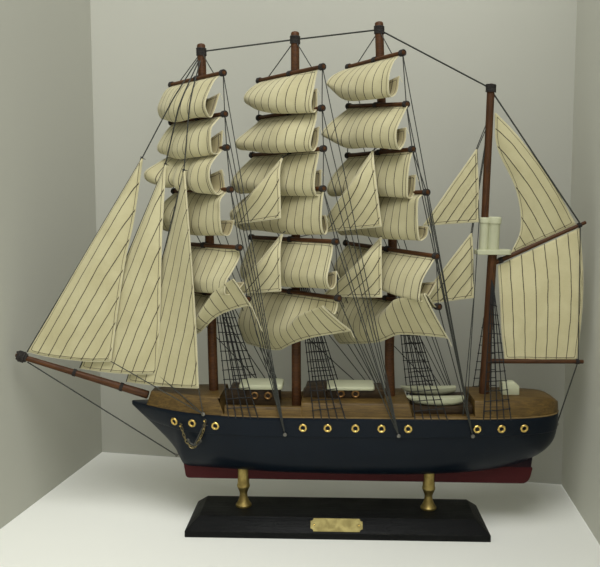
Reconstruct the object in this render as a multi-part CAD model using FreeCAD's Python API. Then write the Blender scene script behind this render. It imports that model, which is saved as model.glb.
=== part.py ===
"""Four-masted display ship on a plinth: one STEP file per sub-part, millimetres, +Z up.

X runs aft (the bow points to -X), the port side is -Y, and the origin is the centre of the plinth's underside.
"""
import FreeCAD
import Part
import math
import os

from FreeCAD import Vector

# ---------------------------------------------------------------- driving dimensions
PLINTH_LENGTH = 268.0
PLINTH_WIDTH = 71.0
PLINTH_EDGE = 5.8            # height of the upright band below the bevel
PLINTH_HEIGHT = 15.8
PLINTH_BEVEL = 11.5          # how far the bevel runs in over its rise

PLATE_LENGTH = 46.0          # blank brass plate on the front bevel
PLATE_HEIGHT = 12.6
PLATE_THICK = 0.6
PLATE_SCALLOP = 2.6          # radius of the hollow corners
NAIL_HEAD_RADIUS = 0.8

PEDESTAL_X = (-85.5, 84.0)
PEDESTAL_TOP = 56.0          # before it is seated under the hull
SCREW_RADIUS = 1.6
SCREW_HEAD_RADIUS = 3.4

KEEL_BOTTOM = 42.3
KEEL_THICK = 5.0

RAIL_Z = 108.0               # top of the painted hull amidships
DECK_TOP = 117.0             # top of the bulwark
WELL_FLOOR = 111.0           # sunken deck beside the fore house
BOAT_DECK = 110.2            # open deck under the lifeboats
FORECASTLE_TOP = 124.5
BRIDGE_TOP = 120.8
POOP_TOP = 123.5
BULWARK_THICK = 5.2          # from the edge of the rail to the inner face of the bulwark
TUMBLEHOME = 0.22            # how fast the sides of the upper works lean in
STRAKE_PROUD = 0.9           # how far the upper strake stands out from the lower hull

THREAD = 0.42                # radius of a rigging thread
FINE_THREAD = 0.32
CLOTH = 0.6                  # thickness of a sail
SHEET_STEPS = 6              # stations from the head of a fore-and-aft sail to its foot
CURL_STEPS = 8               # facets round the curl of a square sail

SHROUD_TOP = 254.0
RATLINE_STEP = 8.1
SHROUD_COUNT = 5

# Table of offsets: station x, height of the bottom, half breadth at the rail, fullness (1 = V, 4 = U).
STATIONS = (
    (-187.0, 110.0, 1.0, 1.2), (-180.0, 103.2, 5.2, 1.2), (-172.0, 95.5, 9.5, 1.2), (-163.0, 86.5, 13.8, 1.25),
    (-154.0, 77.0, 17.6, 1.3), (-147.0, 67.5, 20.4, 1.35), (-142.0, 57.0, 22.4, 1.4), (-138.0, 53.4, 23.6, 1.45),
    (-126.0, 52.6, 26.4, 1.6), (-108.0, 52.2, 28.9, 1.9), (-80.0, 51.7, 30.7, 2.4), (-40.0, 51.0, 31.8, 2.9),
    (40.0, 50.5, 32.0, 3.0), (85.0, 50.7, 31.6, 2.6), (115.0, 51.6, 30.8, 2.1), (140.0, 54.0, 29.6, 1.8),
    (158.0, 58.0, 27.8, 1.7), (172.0, 63.2, 25.2, 1.7), (183.0, 69.4, 21.4, 1.75), (190.0, 75.5, 17.0, 1.8),
    (194.6, 82.5, 11.5, 1.9), (197.0, 91.0, 5.2, 2.0),
)
STRAKE_EDGE = ((-200.0, 102.0), (-174.0, 97.0), (-141.0, 93.0), (-100.0, 91.3), (0.0, 91.0), (110.0, 91.6),
               (200.0, 94.0))
BODY_STEPS = 6               # facets from the strake down to the keel
TURNED_SIDES = 16            # flats round a single turned piece
SMALL_SIDES = 8              # flats round a piece that repeats
PIN_SIDES = 6


# ---------------------------------------------------------------- general shapes
def skin(rings, split=False):
    """Flat-faced solid through matching rings of points.

    Where the quads between the rings don't lie flat, split halves them, the two sides of the ring as mirror images.
    """
    def facet(*corners):
        return Part.Face(Part.makePolygon(list(corners) + [corners[0]]))
    faces = [facet(*rings[0]), facet(*rings[-1])]
    for low, high in zip(rings, rings[1:]):
        for index, (a, b, c, d) in enumerate(zip(low, low[1:] + low[:1], high[1:] + high[:1], high)):
            if not split:
                faces.append(facet(a, b, c, d))
            elif index < len(low) // 2:
                faces += [facet(a, b, c), facet(a, c, d)]
            else:
                faces += [facet(a, b, d), facet(b, c, d)]
    return Part.Solid(Part.Shell(faces))


def turned(profile, foot, axis=Vector(0, 0, 1), sides=TURNED_SIDES):
    """Turned piece from (radius, height) points, standing on foot along axis."""
    place = FreeCAD.Placement(foot, FreeCAD.Rotation(Vector(0, 0, 1), axis))
    angles = [2 * math.pi * (step + 0.5) / sides for step in range(sides)]
    return skin([[place.multVec(Vector(radius * math.cos(angle), radius * math.sin(angle), height))
                  for angle in angles] for radius, height in profile])


def rod(start, end, radius, end_radius=None, sides=TURNED_SIDES):
    """Bar between two points, tapered where the end radius differs."""
    axis = end - start
    last = radius if end_radius is None else end_radius
    return turned([(radius, 0.0), (last, axis.Length)], start, axis, sides)


def thread(start, end, radius=None):
    """Taut rigging thread."""
    return rod(start, end, radius or FINE_THREAD, sides=4)


def plate(outline, y_centre, thickness):
    """Plate in the X-Z plane from (x, z) points or a ready wire."""
    if isinstance(outline, Part.Wire):
        wire = outline
    else:
        points = [Vector(x, 0, z) for x, z in outline]
        wire = Part.makePolygon(points + points[:1])
    face = Part.Face(wire)
    face.translate(Vector(0, y_centre - thickness / 2, 0))
    return face.extrude(Vector(0, thickness, 0))


def box(low, high):
    """Box between two corners."""
    size = [b - a for a, b in zip(low, high)]
    return Part.makeBox(size[0], size[1], size[2], Vector(*low))


def along_curve(points, count):
    """Points at even parameters along the smooth curve through the given ones, both ends included."""
    curve = Part.BSplineCurve()
    curve.interpolate([Vector(*point) for point in points])
    first, last = curve.FirstParameter, curve.LastParameter
    return [curve.value(first + (last - first) * step / (count - 1)) for step in range(count)]


def sheet(luff, leech):
    """Thin cloth between two edges, each a list of points from head to foot."""
    across = (Vector(*leech[-1]) - Vector(*luff[0])).cross(Vector(*luff[-1]) - Vector(*luff[0]))
    across.normalize()
    half = across * (CLOTH / 2)
    pairs = zip(along_curve(luff, SHEET_STEPS), along_curve(leech, SHEET_STEPS))
    return skin([[a - half, b - half, b + half, a + half] for a, b in pairs], split=True)


def mirrored(shape):
    """The same shape on the starboard side."""
    return shape.mirror(Vector(0, 0, 0), Vector(0, 1, 0))


def both_sides(shapes):
    """Port shapes followed by their starboard copies."""
    return list(shapes) + [mirrored(shape) for shape in shapes]


def blend(table, x, column):
    """Value of a column of a table at x, in line between its rows."""
    if x <= table[0][0]:
        return table[0][column]
    for low, high in zip(table, table[1:]):
        if x <= high[0]:
            t = (x - low[0]) / (high[0] - low[0])
            return low[column] + (high[column] - low[column]) * t
    return table[-1][column]


# ---------------------------------------------------------------- hull form
def rail_height(x):
    """Sheer of the rail: level amidships, rising to the bow and a little to the stern."""
    rise = 0.0
    if x < -60:
        rise = 6.0 * ((x + 60) / 126) ** 2
    if x > 110:
        rise = 1.2 * ((x - 110) / 87) ** 2
    return RAIL_Z + rise


def half_breadth(x):
    """Half breadth of the hull at the rail."""
    return blend(STATIONS, x, 2)


def hull_section(x, bottom, breadth, fullness):
    """Section of the hull: a super-ellipse from the keel up, with the upper strake standing proud."""
    top = rail_height(x)

    def side(u, proud=0.0):
        return Vector(x, breadth * (1 - (1 - u) ** fullness) ** (1 / fullness) + proud, bottom + (top - bottom) * u)
    edge = max((blend(STRAKE_EDGE, x, 1) - bottom) / (top - bottom), 0.15)
    starboard = [side(1, STRAKE_PROUD), side((1 + edge) / 2, STRAKE_PROUD), side(edge + 0.012, STRAKE_PROUD), side(edge)]
    for step in range(1, BODY_STEPS):
        starboard.append(side(edge * (1 - math.sin(math.pi / 2 * step / BODY_STEPS))))
    port = [Vector(p.x, -p.y, p.z) for p in reversed(starboard)]
    return starboard + [Vector(x, 0, bottom)] + port


def make_hull():
    """Carved hull through the stations."""
    return skin([hull_section(*station) for station in STATIONS], split=True)


def make_keel(hull):
    """Keel bar with the deadwood and rudder post, fitted under the hull."""
    toe = [Vector(-141, 0, 60), Vector(-138.8, 0, 45.5)]
    toe_curve = Part.Arc(Vector(-138.8, 0, 45.5), Vector(-137.6, 0, 43.2), Vector(-135, 0, KEEL_BOTTOM))
    heel = Vector(166, 0, KEEL_BOTTOM - 1.2)
    heel_curve = Part.Arc(heel, Vector(172.2, 0, 43.2), Vector(175.4, 0, 49.5))
    post = [Vector(175.4, 0, 49.5), Vector(176.6, 0, 55.5), Vector(175.4, 0, 56.6), Vector(176.8, 0, 70)]
    edges = [Part.LineSegment(toe[0], toe[1]).toShape(), toe_curve.toShape(),
             Part.LineSegment(Vector(-135, 0, KEEL_BOTTOM), heel).toShape(), heel_curve.toShape()]
    edges += [Part.LineSegment(a, b).toShape() for a, b in zip(post, post[1:])]
    edges.append(Part.LineSegment(post[-1], toe[0]).toShape())
    return plate(Part.Wire(edges), 0, KEEL_THICK).cut(hull)


def tier(top, x_from, x_to):
    """Slab on the plan of the rail, its sides leaning in up to the height top, between two stations."""
    sections = []
    for x, _, breadth, _ in STATIONS:
        low = rail_height(x)
        foot = breadth + STRAKE_PROUD - 0.6
        head = foot - TUMBLEHOME * (top - low)
        if head > 0.6:
            sections.append([Vector(x, foot, low), Vector(x, head, top), Vector(x, -head, top), Vector(x, -foot, low)])
    return skin(sections).common(box((x_from, -60, 90), (x_to, 60, 140)))


def well(floor, x_from, x_to, wall):
    """Space of a sunken deck inside the bulwark, or right across it where wall is zero."""
    half = min(half_breadth(x_from), half_breadth(x_to)) + STRAKE_PROUD
    reach = half - wall if wall else 60
    return box((x_from, -reach, floor), (x_to, reach, 140))


# ---------------------------------------------------------------- stations along the deck
FORECASTLE_END = -98.5
BRIDGE_START = -31.0
BRIDGE_END = 66.0
POOP_START = 119.0
BLOCK_START = -172.0


def make_main_deck():
    """Planked deck block with its bulwark, sunk beside the fore house and cut down under the boats."""
    slab = tier(DECK_TOP, BLOCK_START, 198)
    slab = slab.cut(well(WELL_FLOOR, FORECASTLE_END + 6, BRIDGE_START, BULWARK_THICK))
    return slab.cut(well(BOAT_DECK, BRIDGE_END, POOP_START, 0))


def raised(top, x_from, x_to):
    """Deck raised above the main deck between two stations."""
    return tier(top, x_from, x_to).cut(box((-200, -60, 90), (200, 60, DECK_TOP)))


def make_bridge_deck():
    """Bridge deck, with its after end sloped."""
    slope = plate([(BRIDGE_END - 3.4, 125), (BRIDGE_END + 1, 112), (80, 112), (80, 125)], 0, 80)
    return raised(BRIDGE_TOP, BRIDGE_START, BRIDGE_END).cut(slope)


def make_poop():
    """Poop with its round stern."""
    return raised(POOP_TOP, POOP_START, 198)


# ---------------------------------------------------------------- base
def make_plinth():
    """Plinth: an upright band under a bevel on all four sides, bored from below for the two screws."""
    outlines = []
    for inset, z in ((0, 0), (0, PLINTH_EDGE), (PLINTH_BEVEL, PLINTH_HEIGHT)):
        x, y = PLINTH_LENGTH / 2 - inset, PLINTH_WIDTH / 2 - inset
        outlines.append([Vector(-x, -y, z), Vector(x, -y, z), Vector(x, y, z), Vector(-x, y, z)])
    body = skin(outlines)
    for bore in pedestal_screws(-0.5):
        body = body.cut(bore)
    return body


def pedestal_screws(head_z):
    """Countersunk screws that come up through the plinth into the pedestals."""
    profile = [(SCREW_HEAD_RADIUS, head_z), (SCREW_HEAD_RADIUS, 1.4), (SCREW_RADIUS, 3.4), (SCREW_RADIUS, 27.0),
               (0.4, 28.5)]
    return [turned(profile, Vector(x, 0, 0), sides=SMALL_SIDES) for x in PEDESTAL_X]


def make_pedestals(hull, keel, screws):
    """Turned columns, slotted over the keel and seated under the hull."""
    profile = [(7.3, PLINTH_HEIGHT), (7.3, 18.6), (6.6, 20.4), (4.2, 23.4), (3.5, 26.5), (3.9, 29.5), (5.6, 34.0),
               (5.8, 37.0), (5.4, 41.0), (5.4, PEDESTAL_TOP)]
    columns = []
    for x in PEDESTAL_X:
        column = turned(profile, Vector(x, 0, 0)).cut(hull).cut(keel)
        low = [solid for solid in column.Solids if solid.BoundBox.ZMin < PLINTH_HEIGHT + 1][0]
        for screw in screws:
            low = low.cut(screw)
        columns.append(low)
    return columns


BEVEL_ANGLE = math.degrees(math.atan2(PLINTH_HEIGHT - PLINTH_EDGE, PLINTH_BEVEL))
BEVEL_CENTRE = Vector(0, -PLINTH_WIDTH / 2 + PLINTH_BEVEL / 2, (PLINTH_EDGE + PLINTH_HEIGHT) / 2)


def on_bevel(shape):
    """Moves a shape drawn flat about the origin onto the middle of the front bevel."""
    shape.Placement = FreeCAD.Placement(BEVEL_CENTRE, FreeCAD.Rotation(Vector(1, 0, 0), BEVEL_ANGLE))
    return shape


def make_nameplate():
    """Blank plate with hollow corners."""
    body = Part.makeBox(PLATE_LENGTH, PLATE_HEIGHT, PLATE_THICK, Vector(-PLATE_LENGTH / 2, -PLATE_HEIGHT / 2, 0))
    for x in (-PLATE_LENGTH / 2, PLATE_LENGTH / 2):
        for y in (-PLATE_HEIGHT / 2, PLATE_HEIGHT / 2):
            body = body.cut(Part.makeCylinder(PLATE_SCALLOP, 2, Vector(x, y, -1)))
    return on_bevel(body)


def make_plate_nails():
    """Round-headed nails at the two ends of the plate."""
    profile = [(0.35, -3.0), (0.35, PLATE_THICK), (NAIL_HEAD_RADIUS, PLATE_THICK), (0.5, PLATE_THICK + 0.45)]
    return [on_bevel(turned(profile, Vector(x, 0, 0), sides=SMALL_SIDES)) for x in (-PLATE_LENGTH / 2 + 3.2, PLATE_LENGTH / 2 - 3.2)]


# ---------------------------------------------------------------- fittings of the hull
PORT_Z = 99.3
PORT_STATIONS = (-144.5, -127.5, -106.5, -29.5, -8.0, 16.0, 38.5, 61.5, 121.0, 142.0, 162.0)


def eyelet(seat, outward):
    """Brass ring with a blind middle, let into a side along outward."""
    return turned([(3.75, -0.9), (3.6, 0.8), (2.0, 0.8), (1.7, -0.2)], seat, outward, SMALL_SIDES)


def hull_side(hull, x, z):
    """Point and outward direction of the port side at a station and height."""
    def crossing(px, pz):
        line = Part.LineSegment(Vector(px, -60, pz), Vector(px, 0, pz)).toShape()
        return min(vertex.Point.y for vertex in line.common(hull).Vertexes)
    y = crossing(x, z)
    along = Vector(4, crossing(x + 2, z) - crossing(x - 2, z), 0)
    up = Vector(0, crossing(x, z + 2) - crossing(x, z - 2), 4)
    outward = along.cross(up)
    outward.normalize()
    if outward.y > 0:
        outward = outward * -1
    return Vector(x, y, z), outward


def make_portholes(hull):
    """Brass rings along both sides of the hull."""
    return both_sides([eyelet(*hull_side(hull, x, PORT_Z + (1.2 if x < -120 else 0))) for x in PORT_STATIONS])


PIN_STATIONS = (-45.0, 53.3, 117.0)
PIN_Z = 93.6
STERN_PIN = Vector(196.0, 0, 96.0)
BOBSTAY_EYE = Vector(-145.5, 0, 63.5)
SHEET_PIN = (-121.5, 106.8)
HAWSE = (-137.2, 98.6)       # pins that the two ends of the anchor's loop hang on
CATHEAD = (-115.2, 104.6)


def make_hull_pins(hull):
    """Pins that take the backstays and the anchors on both sides, one at the stern and an eye at the stem."""
    profile = [(0.9, -2.5), (0.8, 1.4), (1.6, 1.6), (0.9, 3.0)]
    stations = [(x, PIN_Z) for x in PIN_STATIONS] + [SHEET_PIN]
    pins = [turned(profile, *hull_side(hull, x, z), PIN_SIDES) for x, z in stations]
    for x, z in (HAWSE, CATHEAD):
        seat, outward = hull_side(hull, x, z)
        pins.append(turned([(0.45, -2.0), (0.45, 3.1), (1.0, 3.2), (1.0, 3.7)], seat, outward, PIN_SIDES))
    pins = both_sides(pins)
    pins.append(turned(profile, STERN_PIN, Vector(1, 0, 0), PIN_SIDES))
    pins.append(turned(profile, BOBSTAY_EYE, Vector(-1, 0, -0.35), PIN_SIDES))
    return pins


# ---------------------------------------------------------------- deck houses, boats
def rounded_plan(x_from, x_to, half, radius, z, inset=0.0):
    """Rectangle in plan with rounded corners, as a ring of points."""
    corner = radius - inset
    points = []
    for x, y, start in ((x_to - radius, half - radius, 0), (x_from + radius, half - radius, 90),
                        (x_from + radius, radius - half, 180), (x_to - radius, radius - half, 270)):
        for turn in (0, 45, 90):
            angle = math.radians(start + turn)
            points.append(Vector(x + corner * math.cos(angle), y + corner * math.sin(angle), z))
    return points


FORE_HOUSE = ((-81.0, -12.0), (-51.5, 12.0))
MID_HOUSE = ((-8.5, -13.0), (42.0, 13.0))
FORE_HOUSE_TOP = 128.4
MID_HOUSE_TOP = 129.4


def house(plan, floor, top):
    """Walls of a deck house."""
    (x0, y0), (x1, y1) = plan
    return box((x0, y0, floor), (x1, y1, top))


def roof(x_from, x_to, half, floor, thickness):
    """Roof slab with rounded corners and an eased upper edge."""
    levels = ((0.0, 0.0), (thickness - 1.3, 0.0), (thickness - 0.4, 0.5), (thickness, 1.5))
    return skin([rounded_plan(x_from, x_to, half, 3.5, floor + rise, inset) for rise, inset in levels])


def make_roofs():
    """The two painted roofs."""
    return [roof(-87.5, -48.5, 15.0, FORE_HOUSE_TOP, 4.2), roof(-9.0, 33.5, 15.5, MID_HOUSE_TOP, 3.4)]


def make_companions(roofs):
    """Dark companions ahead of the two houses, each with a sloped front and tucked under its roof."""
    fore = plate([(-99.0, WELL_FLOOR), (-99.0, 121), (-96.0, 129.5), (-81.4, 129.5), (-81.4, WELL_FLOOR)], 0, 20)
    fore = fore.cut(box((-110, -20, 100), (FORECASTLE_END + 6, 20, DECK_TOP)))
    fore = fore.cut(box((-110, -20, 100), (FORECASTLE_END, 20, FORECASTLE_TOP)))
    mid = plate([(-30.6, BRIDGE_TOP), (-26.8, 131.2), (-9.3, 131.2), (-9.3, BRIDGE_TOP)], 0, 23)
    return [fore.cut(roofs[0]), mid.cut(roofs[1])]


def make_house_ports():
    """Brass rings in the port and starboard walls of the houses."""
    seats = [(-73.5, FORE_HOUSE[0][1], 122.4), (-61.5, FORE_HOUSE[0][1], 122.4),
             (3.5, MID_HOUSE[0][1], 125.0), (16.5, MID_HOUSE[0][1], 125.0)]
    return both_sides([eyelet(Vector(*seat), Vector(0, -1, 0)) for seat in seats])


BOAT_LENGTH = 50.0
BOATS = ((61.5, -16.5), (58.5, 12.5))
CHOCK_TOP = 120.5


def lifeboat(x_bow, y_centre):
    """Decked boat from a pointed bow to a narrow transom."""
    rings = []
    for part, half, depth in ((0.0, 0.4, 0.8), (0.12, 3.0, 3.2), (0.35, 5.4, 5.0), (0.65, 5.8, 5.4), (0.9, 4.6, 4.6),
                              (1.0, 3.2, 3.0)):
        x = x_bow + BOAT_LENGTH * part
        sheer = CHOCK_TOP + 5.6 + 1.6 * (2 * part - 1) ** 2
        across = ((-1.0, 0.0), (-0.92, 0.42), (-0.6, 0.8), (0.0, 1.0), (0.6, 0.8), (0.92, 0.42), (1.0, 0.0))
        rings.append([Vector(x, y_centre + half * side, sheer - depth * drop) for side, drop in across])
    return skin(rings, split=True)


def make_lifeboats():
    """The two lifeboats."""
    return [lifeboat(x, y) for x, y in BOATS]


def make_boat_chocks(boats):
    """Dark beds that the boats sit in."""
    beds = []
    for (x, y), half in zip(BOATS, (7.5, 7.0)):
        start = BRIDGE_END + 1.6
        bed = plate([(start, BOAT_DECK), (start, CHOCK_TOP + 2.2), (x + 12, CHOCK_TOP + 0.6),
                     (x + BOAT_LENGTH - 8, CHOCK_TOP + 1.4), (POOP_START - 1, CHOCK_TOP + 2.0),
                     (POOP_START - 1, BOAT_DECK)], y, half * 2)
        for boat in boats:
            bed = bed.cut(boat)
        beds.append(max(bed.Solids, key=lambda solid: solid.Volume))
    return beds


def make_wheelhouse():
    """White house on the poop with a clipped after corner."""
    return plate([(147.0, POOP_TOP), (147.0, 134.5), (158.5, 134.5), (162.0, 131.5), (162.0, POOP_TOP)], 0, 13)


# ---------------------------------------------------------------- masts
class Mast:
    """Leaning pole with its yards braced across it; port yard ends are swung aft."""

    def __init__(self, name, foot, head, radius, brace, yards):
        self.name = name
        self.foot = Vector(foot[0], 0, foot[1])
        self.head = Vector(head[0], 0, head[1])
        self.radius = radius
        angle = math.radians(brace)
        self.along = Vector(math.sin(angle), -math.cos(angle), 0)       # towards the port yard end
        self.forward = Vector(-math.cos(angle), -math.sin(angle), 0)
        self.yards = yards

    def at(self, z):
        """Point of the mast's axis at a height."""
        t = (z - self.foot.z) / (self.head.z - self.foot.z)
        return self.foot + (self.head - self.foot) * t

    def thickness(self, z):
        """Radius at a height."""
        t = (z - self.foot.z) / (self.head.z - self.foot.z)
        return self.radius * (1.0 - 0.14 * t)

    def yard_centre(self, level):
        """Middle of a yard, in front of the mast."""
        z = self.yards[level][0]
        return self.at(z) + self.forward * (self.thickness(z) + YARD_RADIUS)

    def yard_end(self, level, side):
        """End of a yard: side 1 is port, -1 is starboard."""
        return self.yard_centre(level) + self.along * (side * (self.yards[level][1] / 2 - 2))


YARD_RADIUS = 1.9
KNOB_RADIUS = 2.5
KNOB_LENGTH = 4.4

FORE = Mast("fore", (-111.6, 112.0), (-119.5, 431.5), 4.3, 42,
            ((401.5, 97), (367.8, 96), (340.0, 95), (305.0, 99), (256.5, 111), (214.0, 132)))
MAIN = Mast("main", (-36.6, 106.0), (-37.3, 441.0), 4.3, 40,
            ((405.2, 99), (371.8, 97), (338.5, 100), (305.5, 105), (261.8, 127), (215.2, 135)))
MIZZEN = Mast("mizzen", (48.8, 112.0), (35.2, 448.6), 4.3, 34,
              ((416.4, 90), (376.0, 92), (337.5, 100), (302.1, 118), (250.4, 129), (209.4, 140)))
SQUARE_MASTS = (FORE, MAIN, MIZZEN)

JIGGER_FOOT = Vector(131.7, 0, 115.0)
JIGGER_TOP_Z = 251.0
JIGGER_HEAD = Vector(138.0, 0, 281.6)
TOPMAST_HEEL = Vector(128.6, 0, 249.0)
TOPMAST_HEAD = Vector(132.3, 0, 395.0)


def make_mast(mast):
    """Tapered pole with the lashed cap at its head."""
    axis = mast.head - mast.foot
    head, length = mast.thickness(mast.head.z), axis.Length
    profile = [(mast.radius, 0.0), (head, length - 7.0), (head + 0.5, length - 7.0), (head + 0.7, length - 1.4),
               (2.6, length + 0.9)]
    return turned(profile, mast.foot, axis)


def make_yards(mast):
    """Six yards with lashed knobs at their ends."""
    shapes = []
    for level, (_, length) in enumerate(mast.yards):
        half = length / 2
        stop = half - KNOB_LENGTH
        profile = [(KNOB_RADIUS, -half), (KNOB_RADIUS, -stop), (YARD_RADIUS, -stop), (YARD_RADIUS, stop),
                   (KNOB_RADIUS, stop), (KNOB_RADIUS, half)]
        shapes.append(turned(profile, mast.yard_centre(level), mast.along, SMALL_SIDES))
    return shapes


# Cut of the square sails: belly forward of the yard, drop of the belly, and where the foot ends (forward, height).
CURLED = (19.5, 39.0, (8.0, -20.0))
TOPSAIL = (16.0, 43.0, (3.0, -29.0))
COURSE = (13.0, 41.0, (6.0, -41.0))


def square_sail(mast, level, cut):
    """Sail hung from a yard: its section bellies forward and curls back under, the same all along the yard."""
    belly, drop, (end_forward, end_height) = cut
    section = [(0.2, 0.5 - YARD_RADIUS, 0), (belly * 0.62, -drop * 0.24, 0), (belly, -drop * 0.6, 0)]
    if end_height > -drop:
        section += [(belly * 0.86, -drop * 0.93, 0), (belly * 0.62, -drop, 0)]
    section.append((end_forward, end_height, 0))
    middle = along_curve(section, CURL_STEPS + 1)
    outer, inner = [], []
    for index, point in enumerate(middle):
        tangent = middle[min(index + 1, CURL_STEPS)] - middle[max(index - 1, 0)]
        tangent.normalize()
        normal = Vector(-tangent.y, tangent.x, 0) * (CLOTH / 2)
        outer.append(point + normal)
        inner.append(point - normal)
    half = mast.yards[level][1] / 2 - 5.5
    start = mast.yard_centre(level) - mast.along * half
    outline = [start + mast.forward * p.x + Vector(0, 0, p.y) for p in outer + inner[::-1]]
    return Part.Face(Part.makePolygon(outline + outline[:1])).extrude(mast.along * (2 * half))


def upper_sails(mast):
    """The four curled sails of the upper yards."""
    return [square_sail(mast, level, CURLED) for level in range(4)]


def make_bowsprit():
    """Bowsprit with two lashed bands and its end knob."""
    heel, tip = Vector(-172.4, 0, 119.2), Vector(-284.5, 0, 152.6)
    length = (tip - heel).Length
    profile = [(3.8, 0.0), (3.5, 24.0), (4.1, 24.0), (4.1, 27.0), (3.5, 27.0), (2.9, 69.0), (3.6, 69.0), (3.6, 72.0),
               (2.9, 72.0), (2.4, length - 1.0), (4.6, length + 1.0), (5.2, length + 5.5), (4.4, length + 9.5),
               (2.4, length + 11.0)]
    return turned(profile, heel, tip - heel)


def make_jigger_mast():
    """Lower mast of the jigger, up to the cap of its doubling."""
    return rod(JIGGER_FOOT, JIGGER_HEAD, 4.4, 3.9)


def make_jigger_top():
    """Painted doubling: the sleeve round the masthead with its cap, and the platform under it."""
    axis = JIGGER_HEAD - JIGGER_FOOT
    axis.normalize()
    base = JIGGER_FOOT + axis * ((JIGGER_TOP_Z - JIGGER_FOOT.z) / axis.z)
    sleeve = turned([(5.2, 0.0), (5.2, 24.0), (6.0, 24.6), (6.0, 29.6), (5.0, 30.6)], base, axis)
    platform = skin([rounded_plan(121.5, 152.0, 8.0, 3.4, z) for z in (248.4, 252.8)])
    heel_block = box((124.8, -3.4, 252.0), (131.6, 3.4, 281.0))
    shape = platform.fuse(sleeve).fuse(heel_block)
    for spar in (make_jigger_mast(), make_topmast(), make_gaff()):
        shape = shape.cut(spar)
    return shape


def make_topmast():
    """Topmast stepped ahead of the masthead, with its lashed cap."""
    length = (TOPMAST_HEAD - TOPMAST_HEEL).Length
    profile = [(3.1, 0.0), (3.3, length - 7.0), (3.9, length - 7.0), (4.1, length - 1.4), (2.6, length + 0.9)]
    return turned(profile, TOPMAST_HEEL, TOPMAST_HEAD - TOPMAST_HEEL)


GAFF_JAW = Vector(139.0, 0, 241.0)
GAFF_PEAK = Vector(217.0, 0, 276.6)
BOOM_JAW = Vector(134.0, 0, 152.9)
BOOM_END = Vector(219.0, 0, 152.9)


def banded_spar(jaw, end, radius, end_radius, band):
    """Tapered spar with a band near its outer end."""
    length = (end - jaw).Length
    profile = [(radius, 0.0), (end_radius, length - band - 3.0), (2.5, length - band - 3.0), (2.5, length - band),
               (end_radius, length - band), (end_radius, length)]
    return turned(profile, jaw, end - jaw).cut(make_jigger_mast())


def make_gaff():
    """Gaff with its lashed peak."""
    return banded_spar(GAFF_JAW, GAFF_PEAK, 2.2, 1.5, 4.4)


def make_boom():
    """Boom under the spanker."""
    return banded_spar(BOOM_JAW, BOOM_END, 2.2, 1.8, 3.6)


# ---------------------------------------------------------------- fore-and-aft sails
JIBS = {
    "flying_jib": ([(-173.6, -1.0, 333.0), (-283.0, -1.0, 158.6)],
                   [(-172.6, -1.4, 333.0), (-181.1, -4.0, 278.4), (-190.6, -6.0, 235.3), (-203.9, -8.0, 151.8)]),
    "outer_jib": ([(-153.0, 0.6, 327.6), (-235.3, 0.6, 143.4)],
                  [(-152.0, -1.0, 327.6), (-155.4, -8.0, 262.0), (-158.0, -10.0, 191.0), (-161.4, -10.0, 141.0)]),
    "inner_jib": ([(-132.2, -22.0, 321.2), (-155.6, -2.0, 248.0), (-192.6, 1.6, 131.0)],
                  [(-131.2, -22.6, 321.2), (-125.8, -30.0, 256.0), (-122.6, -28.0, 191.2), (-121.4, -26.0, 132.0)]),
}


def make_spanker():
    """Four-sided sail between the gaff and the boom."""
    return [sheet([(141.8, 0, 238.6), (144.2, 0, 210.0), (146.4, 0, 180.0), (149.8, 0, 154.4)],
                  [(212.0, 0, 271.8), (216.0, 0, 235.0), (216.4, 0, 200.0), (213.6, 0, 154.4)])]


def make_gaff_topsail():
    """Three-cornered sail between the topmast and the gaff."""
    return [sheet([(136.0, 0, 371.0), (138.0, 0, 341.0), (152.0, 0, 309.0), (159.2, 0, 252.0)],
                  [(137.0, 0, 371.0), (158.3, 0, 349.3), (184.8, 0, 314.7), (208.6, 0, 275.0)])]


# Staysails between two masts: the height of head and clew, then the height and station of the tack.
STAYSAILS = {
    "main_staysails": (FORE, MAIN, ((332, 281, 274, -98), (263, 217, 214, -92))),
    "mizzen_staysails": (MAIN, MIZZEN, ((338, 274, 267, -20), (264, 214, 211, -14))),
}


def staysail_edges(aft_mast, span):
    """Luff and leech of a staysail, led past the port side of the square sails abaft it."""
    head_z, clew_z, tack_z, tack_x = span
    head = aft_mast.at(head_z) + Vector(-10.5, -16.0, 0)
    shoulder = aft_mast.at(head_z - 14) + Vector(-12.0, -31.0, 0)
    clew = aft_mast.at(clew_z) + Vector(-11.0, -35.0, 0)
    tack = Vector(tack_x, -6.0, tack_z)
    luff = [head + Vector(-1, 0, 0), (head + tack) * 0.5 + Vector(0, -14, 0), tack]
    return [tuple(point) for point in luff], [tuple(point) for point in (head, shoulder, clew)]


def staysails(name):
    """Upper and lower staysail of one pair of masts."""
    _, aft_mast, spans = STAYSAILS[name]
    return [sheet(*staysail_edges(aft_mast, span)) for span in spans]


JIGGER_STAYSAILS = (
    ([(120.6, 0, 337.0), (75.4, 0, 273.8)], [(121.6, 0, 337.0), (123.0, -1.6, 308.0), (124.0, -2.4, 279.0)]),
    ([(117.6, 0, 267.0), (70.0, 0, 203.0)], [(118.6, 0, 267.0), (120.4, -1.6, 238.0), (120.8, -2.4, 210.0)]),
)


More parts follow.
